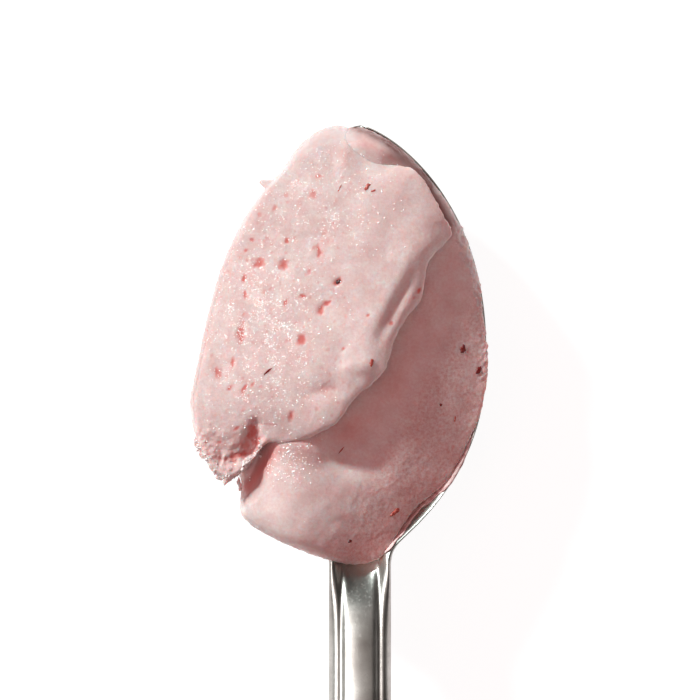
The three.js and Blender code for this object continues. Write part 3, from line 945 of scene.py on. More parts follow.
class Nodes:
    """A short way to lay out the nodes of a material or a world."""

    def __init__(self, owner: Material | World, shader: str) -> None:
        """Takes the owner of the nodes and the name of its shader."""
        owner.use_nodes = True
        self.tree = owner.node_tree
        self.shader = self.tree.nodes[shader]
        self.places = self.add("ShaderNodeTexCoord").outputs

    def put(self, socket: NodeSocket, value: Value) -> None:
        """Links an output to a socket, or sets the socket to a value."""
        if isinstance(value, NodeSocket):
            self.tree.links.new(value, socket)
        else:
            socket.default_value = value

    def feed(self, node: Node, **sockets: Value) -> None:
        """Links or sets a node's input sockets by name."""
        for name, value in sockets.items():
            self.put(node.inputs[name.replace("_", " ")], value)

    def set(self, **sockets: Value) -> None:
        """Links or sets the shader's own sockets."""
        self.feed(self.shader, **sockets)

    def add(self, kind: str, **sockets: Value) -> Node:
        """Adds a node and links or sets its input sockets by name."""
        node = self.tree.nodes.new(kind)
        self.feed(node, **sockets)
        return node

    def stretch(
        self, value: Value, low: float, high: float, start: float = 0.0, end: float = 1.0
    ) -> NodeSocket:
        """Turns a value between low and high into one between start and end."""
        return self.add(
            "ShaderNodeMapRange",
            Value=value, From_Min=low, From_Max=high, To_Min=start, To_Max=end,
        ).outputs["Result"]

    def noise(self, pattern: Pattern, place: NodeSocket | None = None) -> NodeSocket:
        """A pattern's noise, from 0 to 1."""
        fac = self.add(
            "ShaderNodeTexNoise",
            Vector=self.places["Object"] if place is None else place,
            Scale=1 / (pattern.size * MM), Detail=pattern.detail, Roughness=pattern.roughness,
        ).outputs["Fac"]
        whole = (pattern.low, pattern.high) == (0.0, 1.0)
        return fac if whole else self.stretch(fac, pattern.low, pattern.high)

    def varied(self, pattern: Pattern, span: tuple[float, float]) -> NodeSocket:
        """A value that a pattern moves between two ends."""
        return self.stretch(self.noise(pattern), 0.0, 1.0, *span)

    def mix(self, part: Value, a: Value, b: Value) -> NodeSocket:
        """A colour part of the way from a to b."""
        node = self.tree.nodes.new("ShaderNodeMix")
        node.data_type = "RGBA"
        for index, value in ((0, part), (6, a), (7, b)):
            self.put(node.inputs[index], value)
        return node.outputs[2]

    def blend(self, pattern: Pattern, low: Tint, high: Tint) -> NodeSocket:
        """Two tints mixed by a pattern."""
        return self.mix(self.noise(pattern), low.linear(), high.linear())

    def maths(self, operation: str, a: Value, b: Value) -> NodeSocket:
        """The result of one sum on two values."""
        node = self.tree.nodes.new("ShaderNodeMath")
        node.operation = operation
        self.put(node.inputs[0], a)
        self.put(node.inputs[1], b)
        return node.outputs[0]

    def attribute(self, name: str) -> NodeSocket:
        """A number that the mesh holds for each vertex."""
        node = self.tree.nodes.new("ShaderNodeAttribute")
        node.attribute_name = name
        return node.outputs["Fac"]

    def bump(
        self, height: NodeSocket, depth: float, strength: float,
        under: NodeSocket | None = None,
    ) -> NodeSocket:
        """Fine relief of a depth in millimetres, on top of another relief."""
        node = self.add(
            "ShaderNodeBump", Height=height, Distance=depth * MM, Strength=strength
        )
        if under is not None:
            self.feed(node, Normal=under)
        return node.outputs["Normal"]


class Finish(ABC):
    """The recipe of a material."""

    def build(self, name: str) -> Material:
        """Makes the material."""
        material = bpy.data.materials.new(name)
        self.lay_out(Nodes(material, "Principled BSDF"))
        return material

    @abstractmethod
    def lay_out(self, n: Nodes) -> None:
        """Lays out the material's nodes."""


@dataclass(frozen=True)
class SherbetFinish(Finish):
    """Frozen sherbet: pale pink and finely grained, with painted shade in its hollows and on
    its shaded flank, and its sunlit side painted darker.
    """

    mottle: Pattern = Pattern(3.4, 4.0, 0.5, 0.35, 0.7)
    grain: Pattern = Pattern(0.5, 4.0, 0.7, 0.34, 0.68)
    grain_tone: float = 0.3
    flank_grain_and_shade: float = 2.4          # how much stronger the grain shows on the shaded flank: real grain, and partly painted shade there
    wet: Pattern = Pattern(0.7, 2.0, 0.5, 0.35, 0.65)
    wetness: tuple[float, float] = (0.34, 0.62)
    relief: Pattern = Pattern(0.34, 3.0, 0.6)
    crystal: Pattern = Pattern(0.14, 1.0)
    depth: float = 0.034
    scatter: float = 0.8
    reach: tuple[float, float, float] = (1.0, 0.42, 0.34)
    # The layers mixed over the body: painted shade that dims sunlit skin, red with painted
    # shade in hollows, the icy tone, and the thin smear.
    layers: tuple[tuple[str, float, Tint], ...] = (
        ("sunlit_dimming", 0.85, Tint.SUNLIT_DIMMING), ("blush_and_shade", 0.9, Tint.BLUSH_AND_SHADE),
        ("frost", 0.6, Tint.FROST), ("smear", 1.0, Tint.SMEAR),
    )

    def lay_out(self, n: Nodes) -> None:
        """Lays out the material's nodes."""
        body = n.blend(self.mottle, Tint.CREAM, Tint.PINK)
        tone = n.varied(self.grain, (0.0, self.grain_tone))
        # On the shaded flank the grain is stronger and darker: real grain, and partly painted
        # shade.
        flank = n.stretch(n.attribute("flank"), 0.0, 1.0, 1.0, self.flank_grain_and_shade)
        body = n.mix(n.maths("MULTIPLY", tone, flank), body, Tint.GRAIN.linear())
        for name, share, tint in self.layers:
            body = n.mix(n.maths("MULTIPLY", n.attribute(name), share), body, tint.linear())
        fine = n.bump(n.noise(self.crystal), self.depth / 2, 0.7)
        fine = n.bump(n.noise(self.relief), self.depth, 0.8, fine)
        rough = n.varied(self.wet, self.wetness)
        n.set(Base_Color=body, Normal=fine, Roughness=rough, IOR=WATER_IOR)
        n.shader.subsurface_method = "RANDOM_WALK"
        n.set(Subsurface_Weight=0.85, Subsurface_Scale=self.scatter * MM)
        n.set(Subsurface_Radius=self.reach)


@dataclass(frozen=True)
class CrumbFinish(Finish):
    """Thin or crumbled sherbet, too slight to let light through."""

    dark: Tint = Tint.CRUMB
    light: Tint = Tint.SPARK
    grain: float = 0.3
    roughness: tuple[float, float] = (0.4, 0.7)
    relief: Pattern = Pattern(0.15)
    depth: float = 0.02

    def lay_out(self, n: Nodes) -> None:
        """Lays out the material's nodes."""
        tone = n.blend(Pattern(self.grain, low=0.35, high=0.65), self.dark, self.light)
        rough = n.varied(Pattern(self.grain), self.roughness)
        fine = n.bump(n.noise(self.relief), self.depth, 0.6)
        n.set(Base_Color=tone, Roughness=rough, Normal=fine, IOR=WATER_IOR)


@dataclass(frozen=True)
class FruitFinish(Finish):
    """A wet bit of strawberry flesh or seed."""

    dark: Tint
    light: Tint
    roughness: float = 0.3
    mottle: Pattern = Pattern(0.4, low=0.35, high=0.65)
    relief: Pattern = Pattern(0.2)
    depth: float = 0.05
    scatter: float = 0.5
    reach: tuple[float, float, float] = (1.0, 0.3, 0.2)

    def lay_out(self, n: Nodes) -> None:
        """Lays out the material's nodes."""
        colour = n.blend(self.mottle, self.dark, self.light)
        wet = n.bump(n.noise(self.relief), self.depth, 0.6)
        n.set(Base_Color=colour, Normal=wet, Roughness=self.roughness)
        n.set(Subsurface_Weight=0.3, Subsurface_Scale=self.scatter * MM)
        n.set(Subsurface_Radius=self.reach)


@dataclass(frozen=True)
class IceFinish(Finish):
    """Bright milky ice, as the glints are."""

    colour: Tint = Tint.SPARK
    roughness: float = 0.24
    relief: Pattern = Pattern(0.25)
    depth: float = 0.03

    def lay_out(self, n: Nodes) -> None:
        """Lays out the material's nodes."""
        fine = n.bump(n.noise(self.relief), self.depth, 0.5)
        n.set(Base_Color=self.colour.linear(), Roughness=self.roughness)
        n.set(Normal=fine, IOR=ICE_IOR)


@dataclass(frozen=True)
class SteelFinish(Finish):
    """Polished steel, worn dull with fine scratches along it and small specks."""

    scratch: Pattern = Pattern(0.09, 3.0, 0.6)
    scratch_stretch: tuple[float, float, float] = (1.0, 0.06, 1.0)
    scratch_depth: float = 0.004
    speck: Pattern = Pattern(0.35, 4.0, 0.7, 0.52, 0.72)
    speck_tone: float = 0.55
    speck_dulling: float = 0.2
    speck_depth: float = 0.005
    cloud: Pattern = Pattern(7.0, 4.0, 0.5, 0.3, 0.7)
    wear: Pattern = Pattern(2.5, 4.0)
    roughness: tuple[float, float] = (0.27, 0.4)

    def lay_out(self, n: Nodes) -> None:
        """Lays out the material's nodes."""
        along = n.add(
            "ShaderNodeMapping", Vector=n.places["Object"], Scale=self.scratch_stretch
        ).outputs["Vector"]
        specks = n.noise(self.speck)
        tone = n.blend(self.cloud, Tint.STEEL_DARK, Tint.STEEL)
        darker = n.maths("MULTIPLY", specks, self.speck_tone)
        tone = n.mix(darker, tone, Tint.STEEL_DARK.linear())
        duller = n.maths("MULTIPLY", specks, self.speck_dulling)
        rough = n.maths("ADD", n.varied(self.wear, self.roughness), duller)
        fine = n.bump(n.noise(self.scratch, along), self.scratch_depth, 0.5)
        fine = n.bump(specks, self.speck_depth, 0.5, fine)
        n.set(Base_Color=tone, Roughness=rough, Normal=fine, Metallic=1.0)


@dataclass(frozen=True)
class TableFinish(Finish):
    """A plain pale surface that stays nearly white under the object's shadow."""

    body: float = 0.2
    glow: float = 0.91

    def lay_out(self, n: Nodes) -> None:
        """Lays out the material's nodes."""
        n.set(Base_Color=(self.body, self.body, self.body, 1), Roughness=0.9)
        n.set(Emission_Color=(1, 1, 1, 1), Emission_Strength=self.glow)


# ---------------------------------------------------------------------------
# Sub-assemblies


@dataclass
class Spoon:
    """The spoon: one forged and pressed piece of steel."""

    form: SpoonForm = SPOON_FORM
    around: int = 112
    stations: int = 260

    def build(self) -> Object:
        """Shapes the spoon and replaces its solid."""
        bm = bmesh.new()
        bmesh.ops.create_uvsphere(
            bm, u_segments=self.around, v_segments=self.stations, radius=1.0
        )
        unit = vertex_array(bm)
        fraction = np.arccos(np.clip(unit[:, 2], -1, 1)) / np.pi
        ring = np.hypot(unit[:, 0], unit[:, 1])
        ends = (ring > AT_POLE).astype(float)
        across = -unit[:, 0] / np.maximum(ring, TINY) * ends
        side = np.sign(unit[:, 1]) * (np.abs(unit[:, 1]) > AT_POLE)
        y = self.form.station_at(fraction)
        x = across * self.form.width_at(y)
        half = self.form.thickness_at(y) / 2 * self.form.slope_factor(x, y)
        square = np.sqrt(np.maximum(0, 1 - np.abs(across) ** self.form.edge_power))
        half = half * square * ends
        worked = np.where(side > 0, self.form.flute_at(x, y) + self.form.crown_at(x, y), 0)
        z = np.maximum(self.form.sheet_height(x, y) + side * half - worked, 0)
        place_vertices(bm, np.stack([x, y, z], axis=1))
        spoon = finish_mesh("table_spoon", bm, SteelFinish().build("worn_steel"))
        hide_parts("spoon")
        return spoon


@dataclass(frozen=True)
class Chip:
    """An angular chip of the torn end.

    pixel is its middle, size is its length, width and thickness in pixels,
    level is its height over the origin in millimetres, and turn is in degrees.
    """

    pixel: tuple[float, float]
    size: tuple[float, float, float]
    level: float
    turn: float


@dataclass(frozen=True)
class PoreField:
    """Many pinprick pores: the pixels between which they lie, and their sizes."""

    count: int = 150
    across: tuple[float, float] = (205, 345)
    down: tuple[float, float] = (165, 420)
    cluster: float = 30.0
    size: tuple[float, float] = (1.6, 3.6)
    longer: tuple[float, float] = (1.0, 1.8)
    depth: float = 0.16
    # Red inside each small pore: partly its own red, partly painted shade.
    blush_and_shade: float = 0.3

    def scatter(self) -> list[Pore]:
        """Places the pores in seeded clusters."""
        draw = random.Random(41)
        pores = []
        while len(pores) < self.count:
            px, py = draw.uniform(*self.across), draw.uniform(*self.down)
            if draw.random() < 0.5 + 0.5 * cluster_at(px, py, self.cluster, 4.2):
                width = draw.uniform(*self.size)
                length, turn = width * draw.uniform(*self.longer), draw.uniform(0, 180)
                pores.append(Pore((px, py), length, width, turn, self.depth, self.blush_and_shade))
        return pores


@dataclass(frozen=True)
class Grain:
    """A layer of noise in a skin: its size, its height, and which noise it is."""

    size: float
    height: float
    seed: int


def grain_at(layers: tuple[Grain, ...], places: Array) -> Array:
    """The sum of several layers of noise at each place, in millimetres."""
    return sum(noise_at(places, g.size, g.seed) * g.height for g in layers)


@dataclass(frozen=True)
class Zones:
    """Where a skin is torn, frosted, icy, smeared and so on, from 0 to 1."""

    torn: Array
    frost: Array
    icy: Array
    smear: Array
    flank: Array
    steep: Array
    open: Array


SUNLIT = (-0.63, 0.63, 0.454)      # the way to the key light: skin that faces it is painted darker, a painted shade that dims its sunlit side
SUNLIT_SPAN = (0.55, 0.84)
SHADY = (0.87, -0.5)               # the way in plan of the flank that lies in the shade
SHADY_SPAN = (9.0, 14.0)
STEEP_SPAN = (0.3, 0.75)           # upward parts of the normals of steep and level skin
OPEN_SPAN = (0.1, 0.6)
PORE_DEPTH = 0.16                  # how much of a pore's depth the low sun leaves open
CHIP_LEAN = 0.2                    # how far the chips lean, and how that changes
CHIP_LEAN_STEPS = (2.4, 3.1)
CHIP_SEED = 60.0

LUMPS = (Grain(3.6, 0.06, 1), Grain(1.5, 0.036, 2))
FINE = Grain(0.6, 0.012, 3)
FINE_ON_FROST = 0.05               # how much higher the fine grain stands there
FINE_ON_FLANK = 0.022
FINEST = Grain(0.42, 0.012, 6)
RUBBLE = (Grain(1.9, 0.25, 4), Grain(0.8, 0.25, 5))
RUBBLE_LEVEL = 0.35
RAGGED = (Grain(0.75, 0.24, 7), Grain(0.4, 0.12, 12))
BROKEN = (Grain(1.1, 0.13, 10), Grain(0.5, 0.07, 11))
PORE_WARP = (Grain(1.1, 1.0, 8), Grain(0.5, 0.6, 9))
# Painted shade in the low parts of the tear's rubble and in the crease behind the front edge.
TEAR_PAINTED_SHADE = 0.35
TEAR_HOLLOWS = (-0.1, 0.35)
CREASE_PAINTED_SHADE = 0.35
ICY_TONE = 0.4
FROST_TONE = 0.3
SMEAR_TONE = 0.9


@dataclass
class Sherbet:
    """The sherbet itself: the scoop in the bowl and the slab pressed over it."""

    scoop_voxel: float = 0.25
    scoop_faces: tuple[int, int] = (260, 150)
    slab_voxel: float = 0.22
    slab_faces: tuple[int, int] = (300, 170)
    torn_line: Relief = Relief((-25.6, -14.4), (-18.0, -17.6), 3.4, 1.0)
    frost_line: tuple[Relief, ...] = (
        Relief((16.2, 20.6), (20.2, 8.5), 1.3, 1.0),
        Relief((20.6, 3.5), (20.6, -3.5), 0.9, 0.5),
    )
    icy_line: tuple[Relief, ...] = (
        Relief((-19.6, 20.6), (-13.4, 29.4), 2.2, 1.0),
        Relief((-13.4, 29.4), (-3.4, 37.0), 1.8, 1.0),
    )
    smear_line: tuple[Relief, ...] = (
        Relief(from_photo(352, 126), from_photo(396, 146), 0.8, 1.0),
        Relief(from_photo(396, 146), from_photo(424, 180), 1.5, 1.0),
        Relief(from_photo(424, 180), from_photo(447, 224), 1.3, 1.0),
    )
    # Painted shadow: reddened lines along the foot of the lip, in the groove beside the torn
    # end, right of the tip and towards the bottom of the scoop; rise is how strong.
    painted_shadow_line: tuple[Relief, ...] = (
        Relief(from_photo(302, 448), from_photo(350, 430), 2.4, 0.2),
        Relief(from_photo(350, 430), from_photo(398, 376), 2.4, 0.14),
        Relief(from_photo(398, 376), from_photo(428, 290), 2.0, 0.1),
        Relief(from_photo(277, 448), from_photo(249, 486), 1.2, 0.5),
        Relief(from_photo(364, 144), from_photo(392, 157), 1.3, 0.14),
        Relief(from_photo(300, 548), from_photo(372, 548), 2.2, 0.12),
        Relief(from_photo(372, 548), from_photo(450, 460), 2.4, 0.12),
    )
    # A thin crease that sinks the skin and is painted darker inside: painted shade.
    crease: Relief = Relief(from_photo(258.5, 423), from_photo(277, 424.5), 0.16, 0.06)
    pores: tuple[Pore, ...] = (
        Pore((260, 264), 14, 11, 60, 0.9),
        Pore((284, 265.5), 13, 10, 20, 0.9),
        Pore((319.3, 251.5), 11, 6, 95, 0.8),
        Pore((338.2, 282.5), 10, 7, 40, 1.2, 1.0),
        Pore((326.5, 303.5), 9, 5, 25, 0.8),
        Pore((321, 311), 12, 8, 75, 1.0),
        Pore((302.3, 341), 14, 9, 80, 0.8),
        Pore((241.5, 334), 22, 8, 85, 0.8),
        Pore((287, 242), 7, 5, 30, 0.5),
        Pore((286, 303), 8, 5, 60, 0.5),
        Pore((302.5, 296.5), 6, 5, 20, 0.5),
        Pore((245, 279), 8, 5, 80, 0.5),
        Pore((246, 295), 9, 5, 95, 0.5),
        Pore((233.4, 362), 14, 4, 85, 0.5),
        Pore((220, 373), 12, 9, 70, 0.35, 0.6),
        Pore((253.7, 383.7), 6, 4, 50, 0.5),
        Pore((245, 388), 12, 4, 50, 0.35),
        Pore((231, 387), 8, 4, 40, 0.3),
        Pore((291.5, 415.2), 9, 6, 80, 0.7),
        Pore((237.5, 427.8), 7, 4, 40, 0.5),
        Pore((220.7, 442), 6, 4, 10, 0.5),
        Pore((247, 251.5), 5, 4, 0, 0.4),
        Pore((253, 240), 5, 4, 0, 0.4),
        Pore((309.6, 271.8), 12, 6, 40, 0.4, 0.5),
        Pore((418.6, 291), 7, 4, 70, 0.4),
        Pore((413.5, 298.8), 6, 4, 60, 0.4),
        Pore((391, 324), 5, 4, 60, 0.4),
        Pore((367.5, 315.6), 4, 3, 30, 0.35),
        Pore((343, 349.3), 4, 3, 30, 0.35),
        Pore((330, 302), 4, 3, 30, 0.35),
        Pore((323, 388.6), 22, 9, 5, 0.5, 0.3),
        Pore((367.6, 149.3), 9, 6, 80, 0.4, 0.7),
        Pore((383.5, 146.8), 6, 5, 20, 0.4, 0.7),
        Pore((317.6, 177.5), 8, 5, 20, 0.1, 0.6),
        Pore((312.6, 195.3), 12, 8, 110, 0.1, 0.55),
        Pore((274.4, 209.5), 8, 5, 60, 0.1, 0.5),
        Pore((259.6, 216.2), 8, 6, 30, 0.1, 0.5),
        Pore((254.5, 434), 26, 13, 100, 0.3, 0.8),
        Pore((246, 446), 18, 12, 60, 0.2, 0.6),
        Pore((243, 452.5), 36, 11, 24, 1.6, 0.7),
        Pore((221.5, 457), 13, 6, 80, 1.4, 0.55),
        Pore((209, 452), 9, 5, 100, 1.0, 0.45),
    )
    small_pores: PoreField = PoreField()
    chips: tuple[Chip, ...] = (
        Chip((231, 469.5), (27, 17, 13), 20.7, 66),
        Chip((215.5, 465), (21, 14, 12), 20.3, 110),
        Chip((204, 452), (16, 10, 10), 20.1, 60),
        Chip((209, 459), (12, 8, 9), 19.2, 20),
        Chip((197, 442.5), (15, 8, 10), 20.0, 100),
        Chip((223, 476), (12, 9, 9), 18.6, 30),
        Chip((241, 460.5), (14, 11, 9), 19.5, 150),
        Chip((252, 453), (17, 11, 9), 19.8, 35),
        Chip((260.5, 445.5), (12, 6, 6), 18.9, 30),
        Chip((225, 448), (11, 8, 7), 20.9, 10),
        Chip((213, 450), (10, 8, 7), 20.8, 70),
        Chip((239.5, 483.5), (15, 6, 8), 15.8, 100),
        Chip((273, 187), (32, 11, 11), 20.6, 162),
    )

    def _zones(self, places: Array, normals: Array, crumble: float) -> Zones:
        """Sorts the places of a skin.

        Args:
            places: The skin's places, one a row.
            normals: The way it faces at each of them.
            crumble: 1 for the slab, which is torn, and 0 for the scoop, which has the
                frosted rim, the shaded flank and the smear.

        Returns:
            How much each place belongs to each zone.
        """
        x, y, _ = places.T
        upward = normals[:, 2]
        smooth = 1 - crumble
        return Zones(
            torn=self.torn_line.near(x, y) * crumble,
            frost=sum(line.near(x, y) for line in self.frost_line) * smooth,
            icy=sum(line.near(x, y) for line in self.icy_line),
            smear=sum(line.near(x, y) for line in self.smear_line) * smooth,
            flank=smoothstep(x * SHADY[0] + y * SHADY[1], *SHADY_SPAN) * smooth,
            steep=1 - smoothstep(np.abs(upward), *STEEP_SPAN),
            open=smoothstep(upward, *OPEN_SPAN),
        )

    def _roughen(self, mesh: Mesh, pores: list[Pore], crumble: float) -> None:
        """Works the grain, the rubble of the tear and the pores into an even skin, and stores
        the painted shade and tints that the material mixes in.

        Args:
            mesh: The skin.
            pores: The pores that open in its upper face.
            crumble: How strongly the tear breaks it up.
        """
        places, normals = mesh_arrays(mesh)
        x, y, _ = places.T
        zones = self._zones(places, normals, crumble)
        height = FINE.height + FINE_ON_FROST * zones.frost + FINE_ON_FLANK * zones.flank
        fine = noise_at(places, FINE.size, FINE.seed) * height + grain_at((FINEST,), places)
        rubble = sum(
            (cells_at(places, layer.size, layer.seed) - RUBBLE_LEVEL) * layer.height
            for layer in RUBBLE
        )
        move = grain_at(LUMPS, places) + fine + grain_at(RAGGED, places) * zones.frost
        move += grain_at(BROKEN, places) * zones.steep
        move += zones.torn * rubble
        warp = grain_at(PORE_WARP, places)
        sunk = np.zeros_like(x)
        blush_and_shade = np.zeros_like(x)
        # Each pore sinks a little and is painted red inside: partly its own red, partly
        # painted shade of the hollow.
        for pore in pores:
            mask = pore.mask(x, y, warp) * zones.open
            sunk = np.maximum(sunk, mask * pore.depth * PORE_DEPTH)
            blush_and_shade = np.maximum(blush_and_shade, smoothstep(mask, 0.0, 1.0) * pore.blush_and_shade)
        crease = self.crease.near(x, y) * zones.open * crumble
        shift = normals * move[:, None]
        shift[:, 2] -= sunk + self.crease.rise * crease
        set_places(mesh, places + shift)
        # Painted shade in the low parts of the tear's rubble.
        tear_shade = TEAR_PAINTED_SHADE * zones.torn * smoothstep(-rubble, *TEAR_HOLLOWS)
        # Painted shadow: the scoop is reddened along the lines where shadow falls.
        painted_shadow = sum(line.near(x, y) * line.rise for line in self.painted_shadow_line) * (1 - crumble)
        # Painted shade: skin that faces the key light is dimmed, and pores, creases, hollows
        # and the lip's shadow are reddened.
        shades = {
            "blush_and_shade": np.max([blush_and_shade, tear_shade, CREASE_PAINTED_SHADE * crease, painted_shadow], axis=0),
            "flank": zones.flank,
            "sunlit_dimming": smoothstep(normals @ np.array(SUNLIT), *SUNLIT_SPAN),
            "frost": np.maximum(ICY_TONE * zones.icy, FROST_TONE * zones.frost),
            "smear": SMEAR_TONE * zones.smear,
        }
        for name, values in shades.items():
            set_attribute(mesh, name, values)

    def _piece(self, name: str, mesh: Mesh, material: Material) -> Object:
        """Puts a finished skin in the scene."""
        piece = dress_mesh(name, mesh, material)
        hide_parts("sherbet")
        return piece

    def build(self) -> list[Object]:
        """Shapes the scoop and the slab."""
        material = SherbetFinish().build("frozen_sherbet")
        bm = bmesh.new()
        add_mass(bm, SCOOP, self.scoop_faces, SCOOP.polar, scoop_top, scoop_underside)
        scoop = remeshed(bm, self.scoop_voxel)
        self._roughen(scoop, [], 0.0)
        bm = bmesh.new()
        add_mass(bm, SLAB, self.slab_faces, slab_edge, slab_top, slab_underside)
        for i, chip in enumerate(self.chips):
            place = Vector((*from_photo(*chip.pixel), chip.level)) * MM
            lean_x = CHIP_LEAN * math.sin(i * CHIP_LEAN_STEPS[0])
            lean_y = CHIP_LEAN * math.cos(i * CHIP_LEAN_STEPS[1])
            frame = standing(place, Vector((lean_x, lean_y, 1)).normalized(), chip.turn)
            add_lump(bm, frame, half_sizes(chip.size), CHIP_KIND, i + CHIP_SEED)
        slab = remeshed(bm, self.slab_voxel)
        self._roughen(slab, [*self.pores, *self.small_pores.scatter()], 1.0)
        return [
            self._piece("sherbet_scoop", scoop, material),
            self._piece("sherbet_slab", slab, material),
        ]


class Surface:
    """Finds the top of the sherbet under a place in plan."""

    def __init__(self, pieces: list[Object]) -> None:
        """Takes the pieces whose top is wanted."""
        self.trees = []
        for piece in pieces:
            points = [vertex.co for vertex in piece.data.vertices]
            faces = [face.vertices for face in piece.data.polygons]
            self.trees.append(BVHTree.FromPolygons(points, faces))

    def top(self, x: float, y: float) -> tuple[Vector, Vector] | None:
        """Highest point over a place, and the way it faces.

        Args:
            x: The place along X, in millimetres.
            y: The place along Y.

        Returns:
            The point in metres and its normal, or None where there is none.
        """
        best = None
        start, down = Vector((x * MM, y * MM, 1.0)), Vector((0, 0, -1))
        for tree in self.trees:
            point, normal, _, _ = tree.ray_cast(start, down)
            if point is not None and (best is None or point.z > best[0].z):
                best = (point, normal)
        return best


@dataclass(frozen=True)
class Bit:
    """A bit of fruit: its pixel, its length, width and height in pixels, and its turn."""

    pixel: tuple[float, float]
    size: tuple[float, float, float]
    turn: float


FLESH_FINISH = FruitFinish(Tint.FRUIT, Tint.FLESH)
SEED_FINISH = FruitFinish(Tint.SEED, Tint.FRUIT)
PULP_FINISH = FruitFinish(Tint.PULP, Tint.CORAL, 0.4)


@dataclass(frozen=True)
class BitGroup:
    """Bits of one colour: their piece, their material, and which lumps they are."""

    name: str
    material: str
    finish: FruitFinish
    seed: float
    bits: tuple[Bit, ...]


@dataclass
class FruitBits:
    """Bits of strawberry that show in the sherbet's surface."""

    groups: tuple[BitGroup, ...] = (
        BitGroup("strawberry_flesh_bits", "strawberry_flesh", FLESH_FINISH, 1.0, (
            Bit((268.4, 371), (9.5, 1.7, 1.4), 39),
            Bit((462.5, 349.5), (8, 6, 3), 80),
            Bit((479, 370), (7, 6, 2), 60),
            Bit((440.6, 405), (3, 3, 1.5), 0),
        )),
        BitGroup("strawberry_seeds", "strawberry_seed", SEED_FINISH, 20.0, (
            Bit((338.4, 282.2), (5.4, 3.2, 2), 42),
            Bit((349.9, 540.8), (3.6, 3.2, 2), 0),
        )),
        BitGroup("strawberry_pulp_bits", "strawberry_pulp", PULP_FINISH, 40.0, (
            Bit((367.4, 187.2), (8, 4, 1.6), 50),
            Bit((372.6, 191.8), (5, 2, 0.8), 20),
            Bit((371.5, 362.6), (7, 3.5, 1.6), 80),
            Bit((341.2, 450), (10, 1.4, 1.0), 48),
            Bit((394.4, 512.6), (12, 4, 1.4), 35),
            Bit((455, 419), (6, 2, 0.8), 80),
            Bit((339.9, 188.9), (8, 1.2, 0.8), 60),
        )),
    )

    def _piece(self, group: BitGroup, surface: Surface) -> Object:
        """Makes one joined mesh of all the bits of a colour."""
        bm = bmesh.new()
        for i, bit in enumerate(group.bits):
            found = surface.top(*from_photo(*bit.pixel))
            if found is None:
                continue
            frame = standing(*found, bit.turn)
            add_lump(bm, frame, half_sizes(bit.size), BIT_KIND, group.seed + i)
        piece = finish_mesh(group.name, bm, group.finish.build(group.material))
        return piece

    def build(self, surface: Surface) -> list[Object]:
        """Sets all the bits into the sherbet's surface."""
        return [self._piece(group, surface) for group in self.groups]


BRIGHT_LEAN = Vector((-0.43, 0.43, 1.0)).normalized()  # the way that the brightest face


@dataclass(frozen=True)
class GlintField:
    """A cluster of glints: its middle and spread in pixels, and its share of them."""

    pixel: tuple[float, float]
    spread: tuple[float, float]
    share: float


@dataclass
class IceGlints:
    """Tiny bright crystals, clustered over the open face of the slab."""

    count: int = 2300
    batch: int = 150                 # how many are joined at a time, which keeps it quick
    fields: tuple[GlintField, ...] = (
        GlintField((262, 318), (34, 62), 10),
        GlintField((325, 195), (34, 36), 3),
        GlintField((291, 463), (13, 11), 1.2),
    )
    least_level: float = 0.8         # upward part of the normal that a crystal needs
    stray: float = 0.1               # how far its lean strays
    half_size: tuple[float, float] = (0.06, 0.15)
    narrow: tuple[float, float] = (0.6, 1.0)
    thickness: float = 0.5           # as a share of its size
    large_cluster: float = 14.0      # sizes in pixels
    small_cluster: float = 5.0
    between: float = 0.16            # how common they are between the clusters

    def _wanted(self, px: float, py: float, chance: float) -> bool:
        """Whether a crystal may lie at a pixel, as small and large clusters have it."""
        large = cluster_at(px, py, self.large_cluster, 1.7)
        small = cluster_at(px, py, self.small_cluster, 8.1)
        return chance <= self.between + max(0.0, large + 0.5 * small)

    def build(self, surface: Surface) -> Object:
        """Scatters the crystals in seeded clusters."""
        draw = random.Random(7)
        shares = [field.share for field in self.fields]
        bm = bmesh.new()
        batch = bmesh.new()
        placed = 0
        while placed < self.count:
            field = draw.choices(self.fields, weights=shares)[0]
            px, py = map(draw.gauss, field.pixel, field.spread)
            if not self._wanted(px, py, draw.random()):
                continue
            found = surface.top(*from_photo(px, py))
            if found is None or found[1].z < self.least_level:
                continue
            stray = Vector([draw.gauss(0, self.stray) for _ in range(3)])
            lean = (BRIGHT_LEAN + stray).normalized()
            size = draw.uniform(*self.half_size)
            shape = (size, size * draw.uniform(*self.narrow), size * self.thickness)
            add_plate(batch, standing(found[0], lean, draw.uniform(0, 60)), shape)
            placed += 1
            if placed % self.batch == 0:
                join_part(bm, batch)
                batch = bmesh.new()
        join_part(bm, batch)
        piece = finish_mesh("ice_glints", bm, IceFinish().build("bright_ice"))
        piece.data.shade_flat()
        piece.visible_shadow = False
        return piece


@dataclass(frozen=True)
class CrumbLine:
    """Crumbs along a line of pixels.

    count is how many, spread is how far they stray in pixels, and half_size is
    the smallest and the largest of them in millimetres.
    """

    pixels: tuple[tuple[float, float], ...]
    count: int
    spread: float
    half_size: tuple[float, float]


